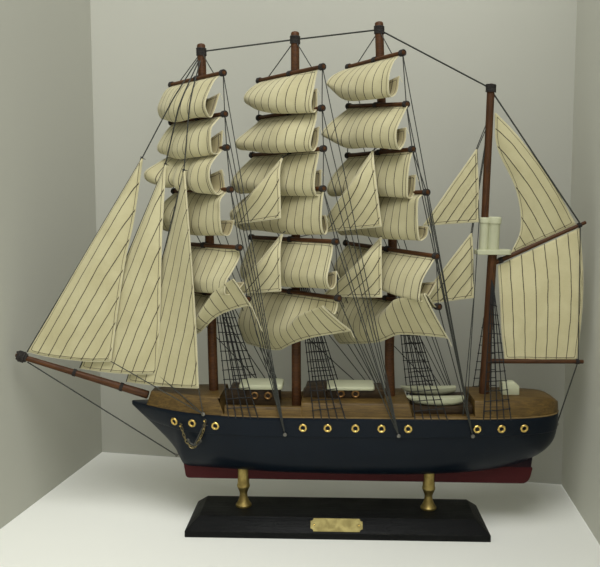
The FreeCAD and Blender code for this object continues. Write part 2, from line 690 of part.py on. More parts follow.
# ---------------------------------------------------------------- rigging
def net(mast_point, x_front, spread, hull_half):
    """Port shrouds from the rail to the mast with ratlines tied across their outer side."""
    shapes = []
    feet, heads = [], []
    for index in range(SHROUD_COUNT):
        x = x_front + spread * index / (SHROUD_COUNT - 1)
        feet.append(Vector(x, -hull_half(x) - STRAKE_PROUD - 0.25, rail_height(x) - 1.5))
        heads.append(mast_point + Vector(0.4 * index, -3.8, -1.2 * index))
        shapes.append(thread(feet[-1], heads[-1], THREAD))
    outward = (feet[-1] - feet[0]).cross(heads[0] - feet[0])
    outward.normalize()
    if outward.y > 0:
        outward = outward * -1
    rows = int((mast_point.z - RAIL_Z) / RATLINE_STEP) - 1
    for row in range(1, rows):
        t = row * RATLINE_STEP / (mast_point.z - RAIL_Z)
        lift = 0.018
        front = feet[0] + (heads[0] - feet[0]) * t
        back = feet[-1] + (heads[-1] - feet[-1]) * (t + lift)
        offset = outward * (THREAD + FINE_THREAD - 0.05)
        reach = (back - front) * (0.6 / (back - front).Length)
        shapes.append(thread(front - reach + offset, back + reach + offset))
    return shapes


NETS = {
    "fore_shrouds": (FORE, SHROUD_TOP, -94.5, 26.0),
    "main_shrouds": (MAIN, SHROUD_TOP, -20.0, 27.5),
    "mizzen_shrouds": (MIZZEN, SHROUD_TOP - 6, 67.5, 28.0),
}


def make_net(name):
    """Both nets of a square-rigged mast."""
    mast, top, x_front, spread = NETS[name]
    return both_sides(net(mast.at(top), x_front, spread, half_breadth))


def make_jigger_net():
    """Both nets of the jigger."""
    axis = JIGGER_HEAD - JIGGER_FOOT
    point = JIGGER_FOOT + axis * ((226.0 - JIGGER_FOOT.z) / axis.z)
    return both_sides(net(point, 126.0, 24.0, half_breadth))


def pin_head(hull, index, side):
    """Where the backstays gather on a hull pin."""
    seat, outward = hull_side(hull, PIN_STATIONS[index], PIN_Z)
    point = seat + outward * 1.3
    return Vector(point.x, point.y * side, point.z)


def make_backstays(hull):
    """Threads from the yard ends and mastheads down to the pins, on both sides."""
    shapes = []
    for index, mast in enumerate(SQUARE_MASTS):
        for side in (1, -1):
            pin = pin_head(hull, index, side)
            for level in range(6):
                shapes.append(thread(mast.yard_end(level, side), pin))
            shapes.append(thread(mast.at(mast.head.z - 6), pin))
    shapes.append(thread(TOPMAST_HEAD + Vector(0, 0, -4), GAFF_PEAK + Vector(-6, -1.8, 0), THREAD))
    shapes.append(thread(GAFF_PEAK + Vector(-5, -1.6, -1), BOOM_END + Vector(-5, -2, 0)))
    shapes.append(thread(BOOM_END + Vector(-5, 0, -1.5), STERN_PIN + Vector(1.6, 0, 0), THREAD))
    return shapes


def make_stays(hull):
    """Threads between the mastheads, those that carry the jibs and the staysails, the jib sheets and the bobstay."""
    heads = [mast.at(mast.head.z - 4.5) for mast in SQUARE_MASTS] + [TOPMAST_HEAD + Vector(0, 0, -4)]
    shapes = [thread(low, high, THREAD) for low, high in zip(heads, heads[1:])]
    for drop, (luff, _) in zip((8, 34, 68), JIBS.values()):
        points = [FORE.at(FORE.head.z - drop)] + [Vector(*point) for point in luff]
        shapes += [thread(start, end, THREAD) for start, end in zip(points, points[1:])]
    shapes.append(thread(Vector(-283.5, 0, 149.0), BOBSTAY_EYE + Vector(-1.8, 0, -0.6), THREAD))
    seat, outward = hull_side(hull, *SHEET_PIN)
    for _, leech in JIBS.values():
        shapes.append(thread(Vector(*leech[-1]), seat + outward * 2.2))
    for fore_mast, aft_mast, spans in STAYSAILS.values():
        for span in spans:
            (head, _, tack), _ = staysail_edges(aft_mast, span)
            shapes.append(thread(aft_mast.at(head[2] + 8), Vector(*head)))
            shapes.append(thread(Vector(*tack), fore_mast.at(tack[2] - 4)))
    return shapes


# ---------------------------------------------------------------- anchors
LOOP_STANDOFF = 2.0          # from the hull to the line that an anchor and its chain swing about
LINK_LENGTH = 4.2
LINK_WIDTH = 2.5
LINK_WIRE = 0.6
RING_RADIUS = 1.75           # of the anchor's ring, to the middle of its wire
RING_DROP = 0.6              # from the pin down to the middle of the ring
CHAIN_SAG = ((0.2, -14.5), (0.5, -22.5), (0.74, -17.0), (0.92, -10.0))      # part of the span, depth below it


def loop_ends(hull):
    """The two points on the port side that the loop swings between, and the direction out from the hull."""
    ends = []
    for x, z in (HAWSE, CATHEAD):
        seat, outward = hull_side(hull, x, z)
        ends.append(seat + outward * LOOP_STANDOFF)
    return ends[0], ends[1], outward


def link(centre, along, flat):
    """Wire link lying along its chain, with its opening spread in the direction flat."""
    through = along.cross(flat)
    through.normalize()

    def loop(length, width):
        points = [centre + along * (length * a) + flat * (width * b) - through * (LINK_WIRE / 2)
                  for a, b in ((-0.5, -0.5), (0.5, -0.5), (0.5, 0.5), (-0.5, 0.5))]
        return Part.Face(Part.makePolygon(points + points[:1]))
    hole = loop(LINK_LENGTH - 2 * LINK_WIRE, LINK_WIDTH - 2 * LINK_WIRE)
    return loop(LINK_LENGTH, LINK_WIDTH).cut(hole).extrude(through * LINK_WIRE)


def make_port_chain(hull):
    """Chain hanging from the hawse in a loop that runs back up to the anchor's ring."""
    hawse, cathead, outward = loop_ends(hull)
    span = cathead - hawse
    stops = [hawse] + [hawse + span * part + Vector(0, 0, depth) for part, depth in CHAIN_SAG]
    stops.append(cathead + Vector(0, 0, -RING_DROP - RING_RADIUS - 1.1))
    pitch = LINK_LENGTH - 2 * LINK_WIRE
    route = along_curve([tuple(stop) for stop in stops], 60)
    links, travelled, wanted = [], 0.0, pitch * 0.22
    for start, end in zip(route, route[1:]):
        step = (end - start).Length
        while travelled + step >= wanted:
            along = (end - start) * (1 / step)
            flat = along.cross(outward)
            flat.normalize()
            if len(links) % 2:
                flat = flat.cross(along)
            links.append(link(start + along * (wanted - travelled), along, flat))
            wanted += pitch
        travelled += step
    return links


def make_port_anchor(hull):
    """Anchor hung by its ring, with its shank led down into the chain's loop and two curved arms."""
    hawse, cathead, outward = loop_ends(hull)
    span = cathead - hawse
    ring_centre = cathead + Vector(0, 0, -RING_DROP)
    fore_and_aft = Vector(span.x, span.y, 0)
    fore_and_aft.normalize()
    half_wire = outward * (LINK_WIRE / 2)

    def disc(radius):
        return turned([(radius, 0.0), (radius, LINK_WIRE)], ring_centre - half_wire, outward, SMALL_SIDES)
    ring = disc(RING_RADIUS + LINK_WIRE / 2).cut(disc(RING_RADIUS - LINK_WIRE / 2))
    top = ring_centre + Vector(0, 0, -RING_RADIUS - 0.1)
    crown = hawse + span * 0.56 + Vector(0, 0, -20.0)
    body = ring.fuse(rod(top, crown, 0.7, 1.0, SMALL_SIDES))
    for side in (-1, 1):
        elbow = crown + fore_and_aft * (side * 4.2) + Vector(0, 0, 1.4)
        tip = crown + fore_and_aft * (side * 6.4) + Vector(0, 0, 5.2)
        body = body.fuse(rod(crown + Vector(0, 0, 0.2), elbow, 1.0, 0.8, 6)).fuse(rod(elbow, tip, 1.3, 0.3, 6))
    return body


# ---------------------------------------------------------------- assembly
def save(name, shapes):
    """Writes one node."""
    group = Part.makeCompound(shapes) if isinstance(shapes, list) else shapes
    group.exportStep("parts/%s.step" % name)


def build():
    """Makes every node, and returns them by name."""
    hull = make_hull()
    keel = make_keel(hull)
    screws = pedestal_screws(0.8)
    roofs = make_roofs()
    nodes = {
        "plinth": make_plinth(),
        "nameplate": make_nameplate(),
        "nameplate_nails": make_plate_nails(),
        "pedestals": make_pedestals(hull, keel, screws),
        "pedestal_screws": screws,
        "hull": hull,
        "keel": keel,
        "main_deck": make_main_deck(),
        "forecastle": raised(FORECASTLE_TOP, BLOCK_START, FORECASTLE_END),
        "bridge_deck": make_bridge_deck(),
        "poop": make_poop(),
        "portholes": make_portholes(hull),
        "hull_pins": make_hull_pins(hull),
        "fore_house": house(FORE_HOUSE, WELL_FLOOR, FORE_HOUSE_TOP),
        "mid_house": house(MID_HOUSE, BRIDGE_TOP, MID_HOUSE_TOP),
        "companions": make_companions(roofs),
        "house_roofs": roofs,
        "house_portholes": make_house_ports(),
        "lifeboats": make_lifeboats(),
        "boat_chocks": make_boat_chocks(make_lifeboats()),
        "wheelhouse": make_wheelhouse(),
        "port_anchor": make_port_anchor(hull),
        "port_chain": make_port_chain(hull),
        "bowsprit": make_bowsprit(),
        "jigger_mast": make_jigger_mast(),
        "jigger_top": make_jigger_top(),
        "jigger_topmast": make_topmast(),
        "gaff": make_gaff(),
        "boom": make_boom(),
        "spanker": make_spanker(),
        "gaff_topsail": make_gaff_topsail(),
        "main_staysails": staysails("main_staysails"),
        "mizzen_staysails": staysails("mizzen_staysails"),
        "jigger_staysails": [sheet(luff, leech) for luff, leech in JIGGER_STAYSAILS],
        "jigger_shrouds": make_jigger_net(),
        "backstays": make_backstays(hull),
        "stays": make_stays(hull),
    }
    nodes["starboard_anchor"] = mirrored(nodes["port_anchor"])
    nodes["starboard_chain"] = [mirrored(shape) for shape in nodes["port_chain"]]
    for name, (luff, leech) in JIBS.items():
        nodes[name] = [sheet(luff, leech)]
    for mast in SQUARE_MASTS:
        nodes[mast.name + "_mast"] = make_mast(mast)
        nodes[mast.name + "_yards"] = make_yards(mast)
        nodes[mast.name + "_upper_sails"] = upper_sails(mast)
        nodes[mast.name + "_topsail"] = [square_sail(mast, 4, TOPSAIL)]
        nodes[mast.name + "_course"] = [square_sail(mast, 5, COURSE)]
    for name in NETS:
        nodes[name] = make_net(name)
    return nodes


os.makedirs("parts", exist_ok=True)
for node, shapes in build().items():
    save(node, shapes)
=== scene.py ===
"""Four-masted display ship on a plinth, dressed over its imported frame.

Tables are in millimetres and finished meshes in metres. X runs aft, port is -Y, and Z is up from the plinth's
underside.
"""
import logging
import math
import random
from abc import ABC, abstractmethod
from collections.abc import Iterable, Mapping, Sequence
from dataclasses import dataclass, field
from enum import Enum
from typing import Any, ClassVar

import bmesh
import bpy
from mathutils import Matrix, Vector
from mathutils.bvhtree import BVHTree


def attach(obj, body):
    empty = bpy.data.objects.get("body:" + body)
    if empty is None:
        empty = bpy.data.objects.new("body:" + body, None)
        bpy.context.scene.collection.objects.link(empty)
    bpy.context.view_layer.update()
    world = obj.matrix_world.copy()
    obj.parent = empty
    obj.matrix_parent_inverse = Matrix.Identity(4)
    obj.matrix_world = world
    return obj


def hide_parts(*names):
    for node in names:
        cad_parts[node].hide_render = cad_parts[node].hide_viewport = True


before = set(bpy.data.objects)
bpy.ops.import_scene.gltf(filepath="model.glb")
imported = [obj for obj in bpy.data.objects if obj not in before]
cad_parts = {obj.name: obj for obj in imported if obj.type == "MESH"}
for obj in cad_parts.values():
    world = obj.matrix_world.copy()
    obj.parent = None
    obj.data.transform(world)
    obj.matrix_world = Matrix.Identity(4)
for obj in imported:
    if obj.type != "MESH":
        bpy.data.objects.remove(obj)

LOG = logging.getLogger("display_ship")
MM = 0.001
UP, ORIGIN = Vector((0.0, 0.0, 1.0)), Vector((0.0, 0.0, 0.0))
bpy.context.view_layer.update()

Pair = tuple[float, float]
Triple = tuple[float, float, float]
Socket = bpy.types.NodeSocket
Section = tuple[tuple[float, ...], ...]
Sections = tuple[tuple[float, Section], ...]


class Body(Enum):
    """Rigid bodies that pieces ride on."""
    SHIP = "ship"
    PORT_LOOP = "port_anchor_loop"
    STARBOARD_LOOP = "starboard_anchor_loop"


class Side(Enum):
    """Sides of the ship, as the sign of a step along a yard."""
    PORT = 1
    STARBOARD = -1


class Lay(Enum):
    """Edge that the seams of a fore-and-aft sail run beside."""
    LUFF = "luff"
    LEECH = "leech"
    EVEN = "even"


# ---------------------------------------------------------------- node trees
class Wiring:
    """Shorthand for adding and joining the nodes of one tree."""

    def __init__(self, tree: bpy.types.NodeTree) -> None:
        """Keeps the tree that nodes are added to."""
        self.tree = tree

    def add(self, kind: str, feeds: Mapping[Any, Any] | None = None, **settings: Any) -> bpy.types.Node:
        """Adds a node.

        Args:
            kind: Blender's name of the node type.
            feeds: Value or socket for each input, by its name or number.
            settings: Properties of the node itself.

        Returns:
            The new node.
        """
        node = self.tree.nodes.new(kind)
        for key, value in settings.items():
            setattr(node, key, value)
        for key, value in (feeds or {}).items():
            self.feed(node.inputs[key], value)
        return node

    def feed(self, target: Socket, value: Any) -> None:
        """Joins a socket to an input, or sets the input to a constant.

        Args:
            target: The input.
            value: Socket or constant.
        """
        if isinstance(value, Socket):
            self.tree.links.new(value, target)
        else:
            target.default_value = value

    def calc(self, operation: str, *values: Any) -> Socket:
        """Result of a math node on the values."""
        return self.add("ShaderNodeMath", dict(enumerate(values)), operation=operation).outputs[0]

    def times(self, first: Any, second: Any) -> Socket:
        """Product of two values."""
        return self.calc("MULTIPLY", first, second)

    def plus(self, first: Any, second: Any) -> Socket:
        """Sum of two values."""
        return self.calc("ADD", first, second)

    def scaled(self, vector: Socket, by: Any) -> Socket:
        """Vector multiplied by another vector."""
        return self.add("ShaderNodeVectorMath", {0: vector, 1: by}, operation="MULTIPLY").outputs[0]

    def noise(self, vector: Any, scale: Any, detail: float = 3.0, distortion: float = 0.0) -> Socket:
        """Value of a noise texture at a place."""
        feeds = {"Vector": vector, "Scale": scale, "Detail": detail, "Distortion": distortion}
        return self.add("ShaderNodeTexNoise", feeds).outputs[0]

    def step(self, value: Any, low: Any, high: Any, start: Any = 0.0, end: Any = 1.0) -> Socket:
        """Smooth step from start to end, as value goes from low to high."""
        feeds = {0: value, 1: low, 2: high, 3: start, 4: end}
        return self.add("ShaderNodeMapRange", feeds, interpolation_type="SMOOTHSTEP").outputs[0]

    def mix(self, factor: Any, low: Any, high: Any) -> Socket:
        """Colour between low and high."""
        return self.add("ShaderNodeMix", {0: factor, 6: low, 7: high}, data_type="RGBA").outputs[2]

    def named(self, name: str, output: int) -> Socket:
        """Output of an attribute node: 1 is its vector, 2 its value."""
        return self.add("ShaderNodeAttribute", attribute_name=name).outputs[output]

    def place(self) -> Socket:
        """Object coordinates in millimetres."""
        return self.scaled(self.add("ShaderNodeTexCoord").outputs["Object"], (1 / MM,) * 3)


def pigment(red: float, green: float, blue: float) -> tuple[float, float, float, float]:
    """Linear colour of a display colour given from 0 to 255.

    Args:
        red: Red part.
        green: Green part.
        blue: Blue part.

    Returns:
        The colour with its alpha.
    """
    channels = [channel / 255 for channel in (red, green, blue)]
    linear = [c / 12.92 if c <= 0.04045 else ((c + 0.055) / 1.055) ** 2.4 for c in channels]
    return linear[0], linear[1], linear[2], 1.0


class Effect(ABC):
    """Surface effect kept as a shader node group that several finishes share."""
    title: ClassVar[str]
    takes: ClassVar[dict[str, float | None]]
    gives: ClassVar[tuple[str, ...]]

    def group(self) -> bpy.types.NodeTree:
        """The node group, built the first time that it is asked for.

        Returns:
            The node group.
        """
        tree = bpy.data.node_groups.get(self.title)
        if tree is None:
            tree = bpy.data.node_groups.new(self.title, "ShaderNodeTree")
            for name, default in self.takes.items():
                kind = "NodeSocketVector" if default is None else "NodeSocketFloat"
                socket = tree.interface.new_socket(name, in_out="INPUT", socket_type=kind)
                if default is not None:
                    socket.default_value = default
            for name in self.gives:
                tree.interface.new_socket(name, in_out="OUTPUT", socket_type="NodeSocketFloat")
            wiring = Wiring(tree)
            source = wiring.add("NodeGroupInput").outputs
            wiring.add("NodeGroupOutput", dict(zip(self.gives, self.wire(wiring, source))))
        return tree

    @abstractmethod
    def wire(self, wiring: Wiring, source: Any) -> Sequence[Socket]:
        """Wires the group, and returns its outputs in the order of gives."""

    def on(self, wiring: Wiring, **values: Any) -> Any:
        """Places the effect in a material.

        Args:
            wiring: Tree of the material.
            values: Values or sockets for the effect's inputs, with _ for a space.

        Returns:
            The outputs of the group's node.
        """
        node = wiring.add("ShaderNodeGroup", node_tree=self.group())
        for name, value in values.items():
            wiring.feed(node.inputs[name.replace("_", " ")], value)
        return node.outputs


class Grain(Effect):
    """Wood grain that runs along the third axis of the place it is given."""
    title = "wood_grain"
    takes = {"Place": None, "Ring": 2.0, "Stretch": 16.0}
    gives = ("Shade", "Pores")

    def wire(self, wiring: Wiring, source: Any) -> Sequence[Socket]:
        """Wires broad rings, fine streaks and short open pores.

        Args:
            wiring: Tree that the nodes are added to.
            source: Inputs of the group, by name.

        Returns:
            The outputs.
        """
        tight = wiring.calc("DIVIDE", 1.0, source["Ring"])
        slow = wiring.calc("DIVIDE", tight, source["Stretch"])
        scale = wiring.add("ShaderNodeCombineXYZ", {0: tight, 1: tight, 2: slow}).outputs[0]
        place = wiring.scaled(source["Place"], scale)
        rings = wiring.noise(place, 0.6, 4.0, 0.9)
        streaks = wiring.noise(place, 3.4, 3.0, 0.2)
        shade = wiring.plus(wiring.times(rings, 0.62), wiring.times(streaks, 0.38))
        pores = wiring.step(wiring.noise(wiring.scaled(place, (1.0, 1.0, 2.6)), 6.5, 2.0), 0.6, 0.7)
        return wiring.step(shade, 0.32, 0.68), pores


class Wear(Effect):
    """Rubbed arrises and scattered scuffs."""
    title = "edge_wear"
    takes = {"Place": None, "Arris": 0.0, "Size": 6.0, "Amount": 0.5}
    gives = ("Mask",)

    def wire(self, wiring: Wiring, source: Any) -> Sequence[Socket]:
        """Wires the arris, broken up by noise, with a few scuffs elsewhere.

        Args:
            wiring: Tree that the nodes are added to.
            source: Inputs of the group, by name.

        Returns:
            The outputs.
        """
        scale = wiring.calc("DIVIDE", 1.0, source["Size"])
        patches = wiring.noise(source["Place"], scale, 5.0)
        edge = wiring.times(source["Arris"], wiring.step(patches, 0.4, 0.62))
        scuffs = wiring.step(wiring.noise(source["Place"], wiring.times(scale, 3.0), 4.0, 0.5), 0.68, 0.76)
        both = wiring.calc("MAXIMUM", edge, wiring.times(scuffs, 0.45))
        return (wiring.times(both, source["Amount"]),)


class Mottle(Effect):
    """Uneven tone over a surface, in blotches with fine speckle."""
    title = "mottled_tone"
    takes = {"Place": None, "Size": 20.0}
    gives = ("Blotch", "Speckle")

    def wire(self, wiring: Wiring, source: Any) -> Sequence[Socket]:
        """Wires large soft blotches and small specks.

        Args:
            wiring: Tree that the nodes are added to.
            source: Inputs of the group, by name.

        Returns:
            The outputs.
        """
        scale = wiring.calc("DIVIDE", 1.0, source["Size"])
        blotch = wiring.noise(source["Place"], scale, 4.0, 0.4)
        speck = wiring.noise(source["Place"], wiring.times(scale, 14.0), 2.0)
        return wiring.step(blotch, 0.3, 0.7), wiring.step(speck, 0.62, 0.75)


class Weave(Effect):
    """Plain weave of warp and weft."""
    title = "plain_weave"
    takes = {"Across": 0.0, "Down": 0.0, "Thread": 0.5}
    gives = ("Height",)

    def wire(self, wiring: Wiring, source: Any) -> Sequence[Socket]:
        """Wires two sets of threads that pass over each other in turn.

        Args:
            wiring: Tree that the nodes are added to.
            source: Inputs of the group, by name.

        Returns:
            The outputs.
        """
        turn = wiring.calc("DIVIDE", math.pi, source["Thread"])
        warp = wiring.calc("SINE", wiring.times(source["Across"], turn))
        weft = wiring.calc("SINE", wiring.times(source["Down"], turn))
        over = wiring.times(warp, weft)
        body = wiring.calc("MAXIMUM", wiring.calc("ABSOLUTE", warp), wiring.calc("ABSOLUTE", weft))
        return (wiring.plus(wiring.times(over, 0.35), wiring.times(body, 0.6)),)


class Stitching(Effect):
    """Stitched seam lines, one at every pitch of a distance."""
    title = "stitched_seam"
    takes = {"Distance": 0.0, "Along": 0.0, "Place": None, "Pitch": 9.0, "Width": 0.5}
    gives = ("Line", "Ridge")

    def wire(self, wiring: Wiring, source: Any) -> Sequence[Socket]:
        """Wires the line with its stitches, and the ridge of the lapped cloth beside it.

        Args:
            wiring: Tree that the nodes are added to.
            source: Inputs of the group, by name.

        Returns:
            The outputs.
        """
        wander = wiring.times(wiring.calc("SUBTRACT", wiring.noise(source["Place"], 0.06, 2.0), 0.5), 1.6)
        distance = wiring.plus(source["Distance"], wander)
        half = wiring.times(source["Pitch"], 0.5)
        near = wiring.calc("PINGPONG", distance, half)
        width = wiring.times(source["Width"], 0.5)
        line = wiring.step(near, width, wiring.plus(width, 0.16), 1.0, 0.0)
        stitch = wiring.calc("PINGPONG", source["Along"], 0.75)
        broken = wiring.step(stitch, 0.05, 0.22, 0.72, 1.0)
        ridge = wiring.step(near, 0.7, 1.3, 1.0, 0.0)
        return wiring.times(line, broken), ridge


class Strands(Effect):
    """Twist of a thread, with its loose fibres."""
    title = "twisted_strands"
    takes = {"Place": None, "Travel": 0.0, "Pitch": 0.8}
    gives = ("Height", "Fuzz")

    def wire(self, wiring: Wiring, source: Any) -> Sequence[Socket]:
        """Wires a rounded turn for every pitch along the thread.

        Args:
            wiring: Tree that the nodes are added to.
            source: Inputs of the group, by name.

        Returns:
            The outputs.
        """
        turn = wiring.calc("DIVIDE", math.pi, source["Pitch"])
        round_ = wiring.calc("ABSOLUTE", wiring.calc("SINE", wiring.times(source["Travel"], turn)))
        return round_, wiring.noise(source["Place"], 1.4, 3.0)


GRAIN, WEAR, MOTTLE, WEAVE, STITCHING, STRANDS = Grain(), Wear(), Mottle(), Weave(), Stitching(), Strands()


# ---------------------------------------------------------------- finishes
@dataclass(frozen=True)
class Finish(ABC):
    """Finish of a surface; slot is the material slot of the record that it belongs to."""
    name: str
    slot: str

    def material(self) -> bpy.types.Material:
        """The material, built the first time that it is asked for.

        Returns:
            The material.
        """
        found = bpy.data.materials.get(self.name)
        if found is None:
            found = bpy.data.materials.new(self.name)
            found.use_nodes = True
            found.node_tree.nodes.clear()
            wiring = Wiring(found.node_tree)
            shader = wiring.add("ShaderNodeBsdfPrincipled")
            wiring.add("ShaderNodeOutputMaterial", {"Surface": shader.outputs[0]})
            self.dress(wiring, shader.inputs)
        return found

    @abstractmethod
    def dress(self, wiring: Wiring, shader: Any) -> None:
        """Wires the inputs of the shader."""

    @staticmethod
    def relief(wiring: Wiring, shader: Any, height: Socket, depth: float) -> None:
        """Feeds a height, with its depth in millimetres, to the shader's normal."""
        bump = wiring.add("ShaderNodeBump", {"Strength": 1.0, "Distance": depth * MM, "Height": height})
        wiring.feed(shader["Normal"], bump.outputs[0])


@dataclass(frozen=True)
class Timber(Finish):
    """Stained wood with its grain, worn on the arrises."""
    light: Triple
    dark: Triple
    ring: float = 2.0
    rough: float = 0.5
    coat: float = 0.2
    wear: float = 0.4
    relief_depth: float = 0.08
    bare: Triple = (150, 105, 62)
    gloss: float = 0.35

    def dress(self, wiring: Wiring, shader: Any) -> None:
        """Wires grain, uneven stain, wear and open pores.

        Args:
            wiring: Tree that the nodes are added to.
            shader: Surface shader that is dressed.
        """
        place = wiring.named("grain", 1)
        grain = GRAIN.on(wiring, Place=place, Ring=self.ring)
        tone = MOTTLE.on(wiring, Place=wiring.place(), Size=26.0)
        worn = WEAR.on(wiring, Place=wiring.place(), Arris=wiring.named("arris", 2), Amount=self.wear)["Mask"]
        wood = wiring.mix(grain["Shade"], pigment(*self.dark), pigment(*self.light))
        shadow = pigment(*[channel * 0.72 for channel in self.dark])
        wood = wiring.mix(wiring.times(tone["Blotch"], 0.3), wood, shadow)
        wood = wiring.mix(wiring.times(grain["Pores"], 0.55), wood, shadow)
        wiring.feed(shader["Base Color"], wiring.mix(worn, wood, pigment(*self.bare)))
        rough = wiring.plus(self.rough, wiring.times(tone["Blotch"], 0.12))
        wiring.feed(shader["Roughness"], wiring.plus(rough, wiring.times(worn, 0.25)))
        wiring.feed(shader["Coat Weight"], wiring.times(wiring.calc("SUBTRACT", 1.0, worn), self.coat))
        shader["Coat Roughness"].default_value = 0.3
        shader["Specular IOR Level"].default_value = self.gloss
        height = wiring.calc("SUBTRACT", wiring.times(grain["Shade"], 0.5), grain["Pores"])
        self.relief(wiring, shader, height, self.relief_depth)


@dataclass(frozen=True)
class Paint(Finish):
    """Brushed paint over wood; rubs through to under on the arrises, and turns to above over a height."""
    colour: Triple
    rough: float = 0.35
    coat: float = 0.0
    wear: float = 0.3
    under: Triple = (120, 100, 80)
    above: Triple | None = None
    height: float = 0.0
    brush: float = 0.035
    gloss: float = 0.35

    def dress(self, wiring: Wiring, shader: Any) -> None:
        """Wires the coat with its brush marks, dust and wear.

        Args:
            wiring: Tree that the nodes are added to.
            shader: Surface shader that is dressed.
        """
        place = wiring.place()
        tone = MOTTLE.on(wiring, Place=place, Size=34.0)
        marks = wiring.noise(wiring.scaled(place, (0.05, 0.6, 0.6)), 1.5, 3.0)
        paint: Any = pigment(*self.colour)
        if self.above is not None:
            level = wiring.add("ShaderNodeSeparateXYZ", {0: place}).outputs[2]
            level = wiring.plus(level, wiring.times(tone["Blotch"], 1.2))
            paint = wiring.mix(wiring.step(level, self.height, self.height + 0.5), paint, pigment(*self.above))
        faded = pigment(*[min(channel * 1.12 + 4, 255) for channel in self.colour])
        paint = wiring.mix(wiring.times(tone["Blotch"], 0.3), paint, faded)
        paint = wiring.mix(wiring.times(tone["Speckle"], 0.12), paint, pigment(*self.under))
        worn = WEAR.on(wiring, Place=place, Arris=wiring.named("arris", 2), Size=4.0, Amount=self.wear)["Mask"]
        wiring.feed(shader["Base Color"], wiring.mix(worn, paint, pigment(*self.under)))
        rough = wiring.plus(self.rough, wiring.times(tone["Blotch"], 0.1))
        wiring.feed(shader["Roughness"], wiring.plus(rough, wiring.times(worn, 0.3)))
        wiring.feed(shader["Coat Weight"], wiring.times(wiring.calc("SUBTRACT", 1.0, worn), self.coat))
        shader["Coat Roughness"].default_value = 0.12
        shader["Specular IOR Level"].default_value = self.gloss
        self.relief(wiring, shader, marks, self.brush)


@dataclass(frozen=True)
class Metal(Finish):
    """Metal with tarnish in patches and fine scratches."""
    bright: Triple
    dull: Triple
    rough: float = 0.25
    tarnish: float = 0.5
    scratch: float = 0.02
    metallic: float = 1.0

    def dress(self, wiring: Wiring, shader: Any) -> None:
        """Wires tarnish and scratches.

        Args:
            wiring: Tree that the nodes are added to.
            shader: Surface shader that is dressed.
        """
        place = wiring.place()
        tone = MOTTLE.on(wiring, Place=place, Size=7.0)
        amount = wiring.times(tone["Blotch"], self.tarnish)
        amount = wiring.calc("MAXIMUM", amount, wiring.times(tone["Speckle"], 0.5))
        wiring.feed(shader["Base Color"], wiring.mix(amount, pigment(*self.bright), pigment(*self.dull)))
        wiring.feed(shader["Roughness"], wiring.plus(self.rough, wiring.times(amount, 0.3)))
        shader["Metallic"].default_value = self.metallic
        scratches = wiring.noise(wiring.scaled(place, (0.25, 3.0, 3.0)), 2.2, 4.0)
        self.relief(wiring, shader, scratches, self.scratch)


@dataclass(frozen=True)
class Sailcloth(Finish):
    """Cotton with sewn seams: the cloth reads its distances across, down and from the hem in millimetres, and how far
    it is turned under in the curl, where it takes painted shade.
    """
    cloth: Triple = (196, 189, 149)
    shade: Triple = (173, 164, 122)
    seam: Triple = (46, 34, 19)
    pitch: float = 9.4

    def dress(self, wiring: Wiring, shader: Any) -> None:
        """Wires weave, seams, double hem lines, age stains, painted shade on the cloth turned under in the curl, and a
        soft sheen.

        Args:
            wiring: Tree that the nodes are added to.
            shader: Surface shader that is dressed.
        """
        place = wiring.place()
        across, down, hem, turned = (wiring.named(name, 2) for name in ("across", "down", "hem", "turned"))
        weave = WEAVE.on(wiring, Across=across, Down=down, Thread=0.42)["Height"]
        seams = STITCHING.on(wiring, Distance=across, Along=down, Place=place, Pitch=self.pitch, Width=0.58)
        fold = wiring.calc("SUBTRACT", hem, 2.3)
        rims = STITCHING.on(wiring, Distance=fold, Along=down, Place=place, Pitch=1.9, Width=0.3)
        band = wiring.step(hem, 3.2, 3.5, 1.0, 0.0)
        inner = wiring.step(hem, 1.5, 1.8)
        rim = wiring.times(rims["Line"], wiring.times(band, inner))
        clear = wiring.step(hem, 0.5, 0.9)
        line = wiring.calc("MAXIMUM", wiring.times(seams["Line"], clear), rim)
        tone = MOTTLE.on(wiring, Place=place, Size=24.0)
        cloth = wiring.mix(wiring.times(tone["Blotch"], 0.45), pigment(*self.cloth), pigment(*self.shade))
        slub = wiring.noise(wiring.scaled(place, (0.4, 0.4, 3.2)), 1.0, 3.0)
        cloth = wiring.mix(wiring.times(wiring.step(slub, 0.5, 0.75), 0.2), cloth, pigment(*self.shade))
        cloth = wiring.mix(wiring.times(tone["Speckle"], 0.1), cloth, pigment(150, 128, 84))
        cloth = wiring.mix(wiring.step(hem, 0.7, 1.2, 0.15, 0.0), cloth, pigment(226, 220, 190))
        # Painted shade: the cloth turned under inside the curl is darkened halfway towards a dark tan.
        cloth = wiring.mix(wiring.times(turned, 0.5), cloth, pigment(136, 118, 76))
        wiring.feed(shader["Base Color"], wiring.mix(line, cloth, pigment(*self.seam)))
        shader["Roughness"].default_value = 0.86
        shader["Sheen Weight"].default_value = 0.15
        shader["Sheen Roughness"].default_value = 0.5
        height = wiring.plus(wiring.times(weave, 0.35), wiring.times(seams["Ridge"], 0.9))
        height = wiring.calc("SUBTRACT", height, wiring.times(line, 0.6))
        height = wiring.plus(height, wiring.times(wiring.noise(place, 0.11, 3.0, 0.3), 5.0))
        self.relief(wiring, shader, height, 0.12)


